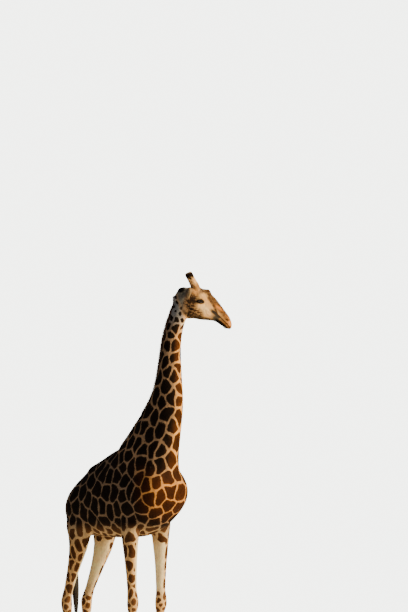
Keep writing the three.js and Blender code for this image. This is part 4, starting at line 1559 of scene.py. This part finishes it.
# %% Unwrap the skin
FIELDS = {  # left, bottom, width and height of each part's field on the sheet
    "trunk": (0.02, 0.01, 0.45, 0.38),
    "neck": (0.52, 0.01, 0.45, 0.38),
    "foreleg_left": (0.02, 0.41, 0.21, 0.29),
    "foreleg_right": (0.27, 0.41, 0.21, 0.29),
    "hindleg_left": (0.52, 0.41, 0.21, 0.29),
    "hindleg_right": (0.77, 0.41, 0.21, 0.29),
    "head": (0.02, 0.72, 0.56, 0.27),
    "tail": (0.64, 0.72, 0.12, 0.27),
}
PARTS = list(FIELDS)
TRUNK_MIDDLE = from_withers([60, 0, 2420])
HEAD_MIDDLE = np.array([60, 0, -40])
LEG_LENGTH = 1.9
LEG_MIDDLES = {
    leg: node_middle(f"{leg}_upper")[:2] * 0.4 + node_middle(f"{leg}_lower")[:2] * 0.6 for leg in LEG_NAMES
}


def parts_of(points):
    """Which part of the body each place belongs to, as a number in PARTS."""
    part = np.zeros(len(points), dtype=int)
    folded_here = over_body(points)
    above = (0.3 * folded_here[:, 0] + folded_here[:, 2] - 3000) > 0
    part[above] = PARTS.index("neck")
    part[past_nape(points) > 0] = PARTS.index("head")
    low = points[:, 2] < 1.86
    ahead = points[:, 0] > withers[0]
    left = points[:, 1] > withers[1]
    for leg in LEG_NAMES:
        fits = low & (ahead == leg.startswith("fore")) & (left == leg.endswith("left"))
        part[fits] = PARTS.index(leg)
    _, away = nearest_on_line(points, TAIL_LINE)
    part[(norm(away, axis=1) < 0.06) & (folded_here[:, 0] < -900)] = PARTS.index("tail")
    return part


def turn_about(first, second):
    """An angle as a share of the full turn."""
    return np.arctan2(first, second) / (2 * math.pi) + 0.5


def raw_unwrap(points, name):
    """Angle and length of places on one part, each from 0 to 1."""
    if name == "trunk":
        x, y, z = (points - TRUNK_MIDDLE).T
        return turn_about(y, -z), np.arctan2(x, np.hypot(y, z)) / math.pi + 0.5
    if name == "head":
        x, y, z = (to_head(points) - HEAD_MIDDLE).T
        return turn_about(y, z), np.arctan2(x, np.hypot(y, z)) / math.pi + 0.5
    if name in ("neck", "tail"):
        line = neck_line if name == "neck" else TAIL_LINE
        share, away = nearest_on_line(points, line)
        run = run_of(line, share)
        fine = share - (away * run).sum(axis=1) / (run * run).sum(axis=1) / (len(line) - 1)
        return turn_about(-away[:, 1], -away[:, 0]), np.clip(fine, -0.02, 1.02)
    x, y = (points[:, :2] - LEG_MIDDLES[name]).T
    return turn_about(y, x), points[:, 2] / LEG_LENGTH


def sheet_places(points, part):
    """The place on the sheet of each place on the skin."""
    sheet = np.zeros((len(points), 2))
    for number, name in enumerate(PARTS):
        rows = part == number
        if rows.any():
            left, bottom, width, height = FIELDS[name]
            around, along = raw_unwrap(points[rows], name)
            sheet[rows] = np.c_[left + width * around, bottom + height * np.clip(along, 0, 1)]
    return sheet


def on_part(points, name):
    """The places on the sheet of points that all belong to one part."""
    return sheet_places(points, np.full(len(points), PARTS.index(name)))


def lay_on_sheet(piece, places):
    """Give a piece its OFBake map: one place for each corner of its faces."""
    layer = piece.data.uv_layers.new(name="OFBake")
    layer.data.foreach_set("uv", places.astype(np.float32).ravel())


face_part = parts_of(skin_points[skin_faces].mean(axis=1))
corner_sheet = sheet_places(skin_points[skin_faces.ravel()], np.repeat(face_part, 3)).reshape(-1, 3, 2)
field_width = np.array([FIELDS[name][2] for name in PARTS])[face_part][:, None]
jump = corner_sheet[:, :, 0] - corner_sheet[:, :1, 0]
corner_sheet[:, :, 0] -= np.round(jump / field_width) * field_width
lay_on_sheet(skin, corner_sheet.reshape(-1, 2))
print("sheet laid over", len(PARTS), "parts")

# %% [markdown]
# Hair is built as small locks: thin closed blades with a three-cornered section that taper to a
# point. One function makes any number of them at once from the lines that they follow.

# %% Make locks of hair
TUFT_PATCH = 0.003  # side of a lock's patch on the sheet


def locks(paths, outward, width, thickness):
    """Closed tapering blades along paths (lock, row, xyz); the last row of each is its tip."""
    count, rows = paths.shape[:2]
    along = unit(np.gradient(paths, axis=1))
    side = unit(np.cross(along, outward[:, None]))
    up = np.cross(side, along)
    taper = (1 - (np.arange(rows - 1) / (rows - 1)) ** 2.2) * 0.85 + 0.15
    width, thickness = (np.broadcast_to(size, count)[:, None] for size in (width, thickness))
    wide = side[:, :-1] * (width * taper)[..., None] / 2
    thick = up[:, :-1] * (thickness * taper)[..., None]
    body = paths[:, :-1]
    rings = np.stack([body - wide - thick / 3, body + wide - thick / 3, body + thick * 2 / 3], axis=2)
    points = np.concatenate([rings.reshape(count, -1, 3), paths[:, -1:]], axis=1)
    size = 3 * (rows - 1) + 1
    faces = [(0, 1, 2)]
    for row in range(rows - 2):
        for k in range(3):
            a, b = 3 * row + k, 3 * row + (k + 1) % 3
            faces += [(a, a + 3, b), (b, a + 3, b + 3)]
    last = 3 * (rows - 2)
    faces += [(last + k, size - 1, last + (k + 1) % 3) for k in range(3)]
    faces = np.array(faces)[None] + (np.arange(count) * size)[:, None, None]
    return points.reshape(-1, 3), faces.reshape(-1, 3), size


def lock_piece(name, slot, finish, paths, outward, width, thickness, sheet, values):
    """An object of many locks; sheet and values hold one row for each lock."""
    points, faces, size = locks(paths, outward, width, thickness)
    piece = add_mesh(name, points, faces)
    dress(piece, slot)
    piece.data.materials.append(finish)
    give_values(piece, **{key: np.repeat(value, size, axis=0) for key, value in values.items()})
    rows = (size - 1) // 3
    across = np.r_[np.tile([-0.4, 0.4, 0.0], rows), 0.0]
    upward = np.r_[np.repeat(np.linspace(-0.4, 0.2, rows), 3), 0.4]
    patch = np.c_[across, upward] * TUFT_PATCH
    spots = (sheet[:, None] + patch).reshape(-1, 2)
    lay_on_sheet(piece, spots[faces.ravel()])
    return piece


# %% [markdown]
# The short coat lies flat. Streaks in the skin's finish carry its look, and thousands of small
# locks break up the outline and catch the light. Each lock starts just under the skin, follows the
# lie of the coat, rises a little and comes back down at its tip. It takes its colour from the skin
# under its root, so that patches and locks can't disagree.

# %% Comb the lie of the coat
def combed(points, normals, neck, leg, tail, head):
    """The direction of the hair at some places, from the shares of the parts they belong to."""
    up_neck = unit(run_of(neck_line, nearest_on_line(points, neck_line)[0]))
    flow = np.tile([-1.0, 0.0, -0.30], (len(points), 1))
    flow = blend(flow, -up_neck + [-0.25, 0, 0], neck)
    flow = blend(flow, np.array([0.0, 0.0, -1.0]), np.maximum(leg, tail))
    cheek = to_head(points)[:, 2] < -60
    back = -muzzleward - np.where(cheek, 0.5, 0.0)[:, None] * foreheadward
    flow = blend(flow, back, head)
    flow -= (flow * normals).sum(axis=1)[:, None] * normals
    return unit(flow)


lie = combed(room, skin_normals, on_neck, on_leg, on_tail, on_head)
bare = (opening < 3.5) | (lips > 0.82) | (above_floor < 0.10)
print("hair combed over", len(lie), "points")


# %% Scatter the short coat
def at_places(values, spots):
    """Values of a mesh's points read at places on its faces."""
    corners, shares = spots
    picked = values[corners]
    return (picked * (shares[..., None] if picked.ndim == 3 else shares)).sum(axis=1)


def scattered(points, faces, weights, count, seed):
    """Random places on a mesh: the face of each, its corners with their shares, and the place."""
    pick = seeded(seed)
    area = 2 * areas(points, faces) * weights
    chosen = pick.choice(len(faces), size=count, p=area / area.sum())
    first, second = pick.random((2, count))
    over = first + second > 1
    first, second = np.where(over, 1 - first, first), np.where(over, 1 - second, second)
    spots = faces[chosen], np.c_[1 - first - second, first, second]
    return chosen, spots, at_places(points, spots)


def flat_paths(roots, normals, directions, lengths, lift, seed):
    """Lines of three rows that leave the skin, rise a little and lie down again."""
    pick = seeded(seed)
    swing = np.cross(normals, directions) * pick.normal(0, 0.16, len(roots))[:, None]
    directions = unit(directions + swing)
    rows = []
    for share, rise in ((0.0, -0.10), (0.5, 1.0), (1.0, 0.55)):
        rows.append(roots + directions * (lengths * share)[:, None] + normals * (lift * rise)[:, None])
    return np.stack(rows, axis=1)


HAIR_LENGTH = 17.0
HAIR_WIDTH = 3.2
HAIR_THICKNESS = 0.7
HAIR_LIFT = 1.1
LOCKS_PER_PIECE = 19800
hair_size = over_regions(
    1.0,
    (on_leg, blend(0.9, 0.55, down_leg)),
    (on_tail, 0.7),
    (upper_neck, 0.66),
    (on_head, 0.56),
    (muzzle, 0.42),
    (0.8 * ease(40, 10, opening), 0.34),
)


def short_coat(name, face_rows, count, seed):
    """Locks over some faces of the skin, less than 200,000 triangles of them."""
    faces = skin_faces[face_rows]
    weights = (~bare[faces]).all(axis=1) / hair_size[faces].mean(axis=1) ** 1.5
    chosen, spots, roots = scattered(skin_points, faces, weights, count, seed)
    normals = unit(at_places(skin_normals, spots))
    directions = unit(at_places(lie, spots))
    size = at_places(hair_size, spots)
    pick = seeded(seed + 100)
    lengths = HAIR_LENGTH * size * pick.uniform(0.75, 1.3, count) * MM
    paths = flat_paths(roots, normals, directions, lengths, HAIR_LIFT * size * MM, seed)
    values = {key: at_places(value, spots) for key, value in markings.items()}
    in_patch = inside_partings((parting[face_rows][chosen] * spots[1][..., None]).sum(axis=1))
    in_patch -= at_places(line_half, spots)
    values["edge"] = np.minimum(in_patch, at_places(spot_edge, spots))
    values["tone"] = pick.uniform(0.93, 1.10, count)
    sheet = sheet_places(roots, parts_of(roots))
    wide = HAIR_WIDTH * size ** 0.8 * pick.uniform(0.8, 1.2, count) * MM
    thick = np.maximum(HAIR_THICKNESS * size, 0.5) * MM
    finish = coat_finish(name + "_finish", 0.4)
    lock_piece(name, "coat", finish, paths, normals, wide, thick, sheet, values)


middles = skin_points[skin_faces].mean(axis=1)
right_side = middles[:, 1] < withers[1]
is_part = {name: face_part == number for number, name in enumerate(PARTS)}
is_leg = np.any([is_part[leg] for leg in LEG_NAMES], axis=0)
low_leg = is_leg & (middles[:, 2] < 1.05)
right_cheek = to_head(middles)[:, 1] < 0
coat_fields = {
    "coat_trunk_left": (is_part["trunk"] & ~right_side, 1.0),
    "coat_trunk_right": (is_part["trunk"] & right_side, 1.0),
    "coat_neck": (is_part["neck"], 1.0),
    "coat_legs_upper": (is_leg & ~low_leg | is_part["tail"], 0.75),
    "coat_legs_lower": (low_leg, 0.75),
    "coat_head_left": (is_part["head"] & ~right_cheek, 0.95),
    "coat_head_right": (is_part["head"] & right_cheek, 0.95),
}
for number, (name, (rows, amount)) in enumerate(coat_fields.items()):
    short_coat(name, rows, int(amount * LOCKS_PER_PIECE), seed=200 + number)
print(len(coat_fields), "pieces of short coat")

# %% [markdown]
# The mane is a brush: stiff, upright hairs less than 5 cm tall, packed along the crest of the neck.
# A ray from inside the neck finds the skin under every hair.

# %% Plant the mane
MANE_FROM = 0.352
MANE_TO = 0.968
MANE_HEIGHT = [(0.345, 20), (0.37, 47), (0.6, 46), (0.88, 41), (0.965, 16)]
MANE_HALF_WIDTH = 13
MANE_HAIRS = 5200
NECK_TURNS = [(0.0, 0), (0.27, 2), (0.42, 8), (0.54, 18), (0.66, 30), (0.8, 42), (0.9, 52), (1.0, 60)]

hair_share = RANDOM.uniform(MANE_FROM, MANE_TO, MANE_HAIRS)
hair_side = RANDOM.uniform(-1, 1, MANE_HAIRS)


def along_neck(values, share):
    """Rows of values along the neck's middle line, read between its points."""
    spots = np.linspace(0, 1, len(values))
    return np.stack([np.interp(share, spots, values[:, k]) for k in range(3)], axis=1)


neck_run = unit(along_neck(np.gradient(neck_line, axis=0), hair_share))
turns = np.radians(np.interp(hair_share, *np.array(NECK_TURNS).T))
to_left = np.c_[-np.sin(turns), np.cos(turns), np.zeros(MANE_HAIRS)]
to_throat = unit(np.cross(to_left, neck_run))
start = along_neck(neck_line, hair_share) + to_left * (hair_side * MANE_HALF_WIDTH * MM)[:, None]
mane_roots = np.array([
    skin_tree.ray_cast(Vector(begin), Vector(-ahead))[0] or Vector(begin)
    for begin, ahead in zip(start, to_throat)
])
mane_up = unit(-to_throat + to_left * (0.22 * hair_side)[:, None] - neck_run * 0.12)
tall = np.interp(hair_share, *np.array(MANE_HEIGHT).T) * RANDOM.uniform(0.78, 1.06, MANE_HAIRS) * MM
tall *= 1 - 0.25 * hair_side ** 2
bend = RANDOM.normal(0, 0.05, (MANE_HAIRS, 3))
mane_paths = np.stack([
    mane_roots - mane_up * 0.004,
    mane_roots + mane_up * (tall * 0.5)[:, None],
    mane_roots + unit(mane_up + bend) * tall[:, None],
], axis=1)


def hair_finish(name, low, high, roughness):
    """Long hair: a dark and a light colour mixed along each lock, with a soft gloss."""
    recipe = Recipe(name, roughness, Sheen_Weight=0.15)
    grain = recipe.noise(1.0, 3, (160, 160, 30))
    tone = recipe.math("SUBTRACT", recipe.stored("tone"), 0.8)
    share = recipe.math("ADD", recipe.math("MULTIPLY", grain, 0.6), tone)
    colour = recipe.mix(share, colour_of(*low), colour_of(*high))
    recipe.drive("Base Color", colour)
    recipe.bump(grain, 0.6 * MM)
    return recipe.material


mane_finish = hair_finish("mane_finish", (34, 21, 14), (104, 62, 34), 0.62)
mane = lock_piece(
    "mane_hair", "mane_hair", mane_finish, mane_paths, to_left, 3.4 * MM, 1.6 * MM,
    on_part(mane_roots, "neck"), {"tone": RANDOM.uniform(0.7, 1.3, MANE_HAIRS)},
)
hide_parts("mane")
print("mane of", MANE_HAIRS, "hairs")

# %% [markdown]
# The tail ends in a whisk of long black hair, the longest of any land animal. Each lock leaves the
# tail's end at its own height, swells out with the others and hangs to its own length.

# %% Hang the tail's whisk
WHISK_LOCKS = 520
WHISK_ROWS = 13
WHISK_MIDDLE = from_withers([
    [-998, 16, 1760], [-992, 20, 1620], [-988, 22, 1540], [-980, 25, 1380], [-972, 28, 1180],
    [-966, 30, 980], [-962, 31, 850],
])
WHISK_RADIUS = [(1760, 14), (1640, 17), (1540, 30), (1380, 44), (1180, 42), (980, 27), (850, 8)]

whisk_top = RANDOM.uniform(1560, 1700, WHISK_LOCKS)
whisk_end = 850 + 420 * RANDOM.beta(1.1, 2.4, WHISK_LOCKS)
whisk_turn = RANDOM.uniform(0, 2 * math.pi, WHISK_LOCKS)
whisk_spread = np.sqrt(RANDOM.uniform(0.1, 1.0, WHISK_LOCKS))
row_share = np.linspace(0, 1, WHISK_ROWS)
heights = whisk_top[:, None] + (whisk_end - whisk_top)[:, None] * row_share
radius_table = np.array(WHISK_RADIUS)[::-1]
reach = np.interp(heights, radius_table[:, 0], radius_table[:, 1]) * MM
spread = np.maximum(whisk_spread[:, None], 1 - 5 * row_share) * reach
sway = 0.35 * np.sin(row_share * 5 + whisk_turn[:, None] * 3)
middle_line = [np.interp(heights, WHISK_MIDDLE[::-1, 2] / MM, WHISK_MIDDLE[::-1, k]) for k in (0, 1)]
whisk_paths = np.stack([
    middle_line[0] + spread * np.cos(whisk_turn[:, None] + sway),
    middle_line[1] + spread * np.sin(whisk_turn[:, None] + sway),
    heights * MM,
], axis=2)
whisk_out = np.c_[np.cos(whisk_turn), np.sin(whisk_turn), np.zeros(WHISK_LOCKS)]
whisk_finish = hair_finish("whisk_finish", (12, 9, 8), (52, 38, 28), 0.5)
whisk = lock_piece(
    "tail_whisk", "tail_hair", whisk_finish, whisk_paths, whisk_out,
    RANDOM.uniform(4, 8, WHISK_LOCKS) * MM, 2.6 * MM,
    on_part(whisk_paths[:, 0], "tail"), {"tone": RANDOM.uniform(0.7, 1.3, WHISK_LOCKS)},
)
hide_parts("tail_tuft")
print("whisk of", WHISK_LOCKS, "locks")

# %% [markdown]
# Horns wear short tan hair, polished away on the knob by old bulls' fights, and a ring of longer
# dark hair below it. The colours follow the share of the horn's length.

# %% Finish the horns
def loft_share(piece, rows, around):
    """The share of the length at each point of a loft."""
    count = len(piece.data.vertices)
    share = np.minimum(np.arange(count) // around, rows - 1) / (rows - 1)
    share[-2] = 0
    share[-1] = 1
    return share


def finish_plain(piece, name, colours, upright, hair_depth):
    """Give a piece without patches the finish of short hair; returns the values it stores."""
    same = np.ones(len(colours))
    values = {"edge": -same, "ground": colours, "dark": colours, "upright": upright * same}
    give_values(piece, **values, tone=same)
    piece.data.materials.append(coat_finish(name, hair_depth))
    return values


def cover_with_hair(piece, name, slot, count, direction, sizes, weight, values, seed):
    """Short locks over a piece: sizes are length, width, thickness and lift in millimetres."""
    points, faces = mesh_arrays(piece.data, corners=3)
    normals = normals_of(points, faces)
    length, width, thickness, lift = sizes
    _, spots, roots = scattered(points, faces, weight[faces].mean(axis=1), count, seed)
    out = unit(at_places(normals, spots))
    flow = at_places(direction, spots)
    flow = unit(flow - (flow * out).sum(axis=1)[:, None] * out)
    pick = seeded(seed + 100)
    lengths = at_places(length, spots) * pick.uniform(0.75, 1.25, count) * MM
    paths = flat_paths(roots, out, flow, lengths, np.full(count, lift * MM), seed)
    read = {key: at_places(value, spots) for key, value in values.items()}
    read["tone"] = pick.uniform(0.90, 1.12, count)
    finish = coat_finish(name + "_finish", 0.3)
    sheet = on_part(roots, "head")
    lock_piece(name, slot, finish, paths, out, width * MM, thickness * MM, sheet, read)


RING_FROM = 0.70
RING_TO = 0.90
HORN_HAIRS = 3200

for side_name, side in SIDES.items():
    points, _ = mesh_arrays(horns[side_name].data, corners=3)
    share = loft_share(horns[side_name], HORN_ROWS + KNOB_ROWS - 1, HORN_AROUND)
    grain = waves(points, 0.03, 30 + side)
    ring = ease(RING_FROM - 0.05, RING_FROM + 0.05, share + 0.03 * grain)
    ring *= ease(RING_TO + 0.035, RING_TO - 0.01, share + 0.02 * grain)
    knob = ease(RING_TO, RING_TO + 0.05, share)
    tan = shaded(
        len(points),
        (244, 196, 134),
        (ease(0.5, 0.3, share), (216, 164, 102)),
        (0.35 * (grain > 0.3), (150, 100, 58)),
        (ring, (44, 30, 23)),
        (knob, (190, 152, 112)),
    )
    horn_values = finish_plain(horns[side_name], f"horn_{side_name}_finish", tan, 1.0, 1.2)
    foot, top = from_head(HORN_LINE[[0, -1]] * [1, side, 1])
    up_the_horn = np.tile(unit(top - foot), (len(points), 1))
    hair_length = 9 + 9 * ring + 6 * ease(0.45, 0.3, share)
    covered = (1 - ease(RING_TO + 0.02, RING_TO + 0.04, share)) * (1 + 2 * ring) + 1e-6
    cover_with_hair(
        horns[side_name], f"coat_horn_{side_name}", "horn_hair", HORN_HAIRS, up_the_horn,
        (hair_length, 1.8, 0.8, 1.6), covered, horn_values, 300 + side,
    )
print("two horns with", HORN_HAIRS, "locks each")

# %% [markdown]
# The ears are tan behind and cream inside, with a darker rim. Long pale hair stands in from the
# front edge and guards the opening.

# %% Finish the ears
EAR_HAIRS = 3000
EAR_GUARDS = 240

for side_name, side in SIDES.items():
    points, _ = mesh_arrays(ears[side_name].data, corners=3)
    around = 2 * EAR_ACROSS
    share = loft_share(ears[side_name], EAR_ROWS, around)
    place = np.arange(len(points)) % around
    inside = ((place > 1) & (place < EAR_ACROSS - 1)).astype(float)
    rim = np.isin(place, (0, 1, EAR_ACROSS - 1, EAR_ACROSS, EAR_ACROSS + 1, around - 1)).astype(float)
    cream = shaded(
        len(points),
        (222, 184, 132),
        (inside, (236, 206, 160)),
        (0.6 * rim, (104, 72, 48)),
        (0.5 * inside * ease(0.5, 0.15, share), (150, 108, 80)),
        (ease(0.85, 1.0, share), (120, 86, 58)),
    )
    ear_values = finish_plain(ears[side_name], f"ear_{side_name}_finish", cream, 0.0, 0.8)
    aim = unit(EAR_AIM * [1.0, side, 1.0]) @ HEAD_AXES
    to_tip = np.tile(aim, (len(points), 1))
    even = np.ones(len(points))
    cover_with_hair(
        ears[side_name], f"coat_ear_{side_name}", "face", EAR_HAIRS, to_tip,
        (9.0 * even, 1.4, 0.7, 1.0), even, ear_values, 320 + side,
    )
    pick = seeded(340 + side)
    rows = (pick.uniform(0.2, 0.72, EAR_GUARDS) * (EAR_ROWS - 1)).astype(int)
    columns = pick.choice([2, 3, EAR_ACROSS - 3, EAR_ACROSS - 2], EAR_GUARDS)
    roots = points[rows * around + columns]
    middle = points[rows * around + EAR_ACROSS // 2]
    inward = unit(middle - roots)
    ahead = unit(np.cross(inward, to_tip[:EAR_GUARDS]))
    ahead *= np.sign((ahead * muzzleward).sum(axis=1))[:, None]
    lengths = pick.uniform(16, 30, EAR_GUARDS)[:, None] * MM
    halfway = roots + (inward * 0.35 + aim * 0.3 + ahead * 0.12) * lengths
    tips = roots + (inward * 0.7 + aim * 0.75) * lengths
    name = f"hair_ear_{side_name}"
    finish = hair_finish(name + "_finish", (150, 122, 92), (232, 212, 180), 0.6)
    lock_piece(
        name, "face", finish, np.stack([roots, halfway, tips], axis=1), ahead,
        1.4 * MM, 0.7 * MM, on_part(roots, "head"), {"tone": pick.uniform(0.8, 1.3, EAR_GUARDS)},
    )
print("two ears with", EAR_HAIRS, "locks and", EAR_GUARDS, "guard hairs each")

# %% [markdown]
# A giraffe's eye is so dark that the brown iris barely shows around the pupil, a lying oval. A low
# roughness and a clear coat give the wet, sharp highlight.

# %% Finish the eyes
PUPIL_HALF_LENGTH = 11
PUPIL_HALF_HEIGHT = 7

wet = Recipe("wet_eye", 0.06, Coat_Weight=1.0, Coat_Roughness=0.02, IOR=1.4)
iris = wet.mix(wet.noise(900.0, 2), colour_of(30, 17, 10), colour_of(66, 38, 20))
white = wet.mix(wet.noise(120.0), colour_of(60, 44, 36), colour_of(92, 72, 60))
around_pupil = wet.mix(wet.ramp(wet.stored("gaze"), 0.72, 0.80), iris, white)
off_pupil = wet.ramp(wet.stored("pupil"), 0.9, 1.1)
wet.drive("Base Color", wet.mix(off_pupil, colour_of(5, 4, 4), around_pupil))
for side_name, side in SIDES.items():
    points, _ = mesh_arrays(eyeballs[side_name].data, corners=3)
    view = eye_view(to_head(points), side)
    off_axis = np.arctan2(np.hypot(view[:, 0], view[:, 2]), view[:, 1])
    pupil = np.hypot(view[:, 0] / PUPIL_HALF_LENGTH, view[:, 2] / PUPIL_HALF_HEIGHT)
    give_values(eyeballs[side_name], gaze=off_axis, pupil=np.where(view[:, 1] > 0, pupil, 9))
    eyeballs[side_name].data.materials.append(wet.material)
print("two eyes")

# %% [markdown]
# Long lashes shade each eye. They grow from the edge of the upper lid, sweep outwards and droop
# slightly; the lower lid has a few short ones. Sparse whiskers stand on the lips and the chin.

# %% Add lashes and whiskers
LASHES = 90
LOWER_LASHES = 34
WHISKERS = 110


def lid_edge(forward, upper):
    """A place on the edge of a lid, seen from the eyeball's middle."""
    across = (lid_height(forward, upper) + 1.5) * np.where(upper, 1, -1)
    turn, rise = forward / EYE_RADIUS, across / EYE_RADIUS
    aim = np.c_[np.sin(turn) * np.cos(rise), np.cos(turn) * np.cos(rise), np.sin(rise)]
    return aim * (EYE_RADIUS + LID_THICKNESS)


for side_name, side in SIDES.items():
    pick = seeded(360 + side)
    upper = np.arange(LASHES + LOWER_LASHES) < LASHES
    forward = pick.uniform(-0.92 * ALMOND_HALF, 0.9 * ALMOND_HALF, len(upper))
    edge_view = lid_edge(forward, upper)
    length = np.where(upper, pick.uniform(20, 30, len(upper)), pick.uniform(8, 13, len(upper)))[:, None]
    fan = np.c_[forward * 0.014, np.full(len(upper), 0.9), np.where(upper, 0.1, -0.5)]
    droop = np.c_[forward * 0.022, np.ones(len(upper)), np.where(upper, -0.42, -0.8)]
    lash_rows = [edge_view, edge_view + unit(fan) * length * 0.5, edge_view + unit(droop) * length]
    lash_paths = np.stack([from_head(from_eye_view(row, side)) for row in lash_rows], axis=1)
    upward = np.tile(foreheadward, (len(upper), 1))
    name = f"lashes_{side_name}"
    finish = hair_finish(name + "_finish", (10, 8, 7), (34, 26, 22), 0.5)
    lock_piece(
        name, "tail_hair", finish, lash_paths, upward, 1.0 * MM, 0.7 * MM,
        on_part(lash_paths[:, 0], "head"), {"tone": np.ones(len(upper))},
    )

chin = swelling(head_places, (450, 20, -70), (40, 40, 30), 1) + 0.5 * lips * (x_head > 400)
chin_weight = chin[skin_faces].mean(axis=1) * (middles[:, 2] > 4)
_, spots, roots = scattered(skin_points, skin_faces, chin_weight, WHISKERS, 380)
out = unit(at_places(skin_normals, spots))
droop = unit(out + [0, 0, -0.5])
pick = seeded(381)
length = pick.uniform(12, 28, WHISKERS)[:, None] * MM
whisker_paths = np.stack([roots - out * 0.002, roots + out * length * 0.5, roots + droop * length], axis=1)
finish = hair_finish("whisker_finish", (40, 30, 24), (130, 104, 80), 0.5)
lock_piece(
    "whiskers", "face", finish, whisker_paths, np.tile(leftward, (WHISKERS, 1)), 0.7 * MM, 0.6 * MM,
    on_part(roots, "head"), {"tone": pick.uniform(0.8, 1.2, WHISKERS)},
)
print(LASHES + LOWER_LASHES, "lashes for each eye and", WHISKERS, "whiskers")

# %% [markdown]
# Hoof horn grows in rings like a fingernail. It is nearly black at the hairline and worn paler and
# dustier towards the floor.

# %% Finish the hooves
hard = Recipe("hoof_horn", 0.5)
height = hard.add("SeparateXYZ", {0: hard.place()}).outputs["Z"]
rings = hard.noise(1.0, 4, (4, 4, 260))
scratches = hard.noise(1.0, 3, (160, 160, 12))
ringed = hard.mix(rings, colour_of(52, 42, 36), colour_of(92, 76, 64))
worn = hard.mix(hard.ramp(height, 0.10, 0.0), ringed, colour_of(128, 110, 92))
marked = hard.mix(hard.ramp(scratches, 0.55, 0.75, 0.0, 0.35), worn, colour_of(40, 33, 29))
hard.drive("Base Color", marked)
hard.drive("Roughness", hard.ramp(scratches, 0.3, 0.7, 0.42, 0.7))
hard.bump(hard.math("ADD", rings, hard.math("MULTIPLY", scratches, 0.4)), 1.2 * MM)
for hoof in hooves:
    hoof.data.materials.append(hard.material)
print("hooves finished")
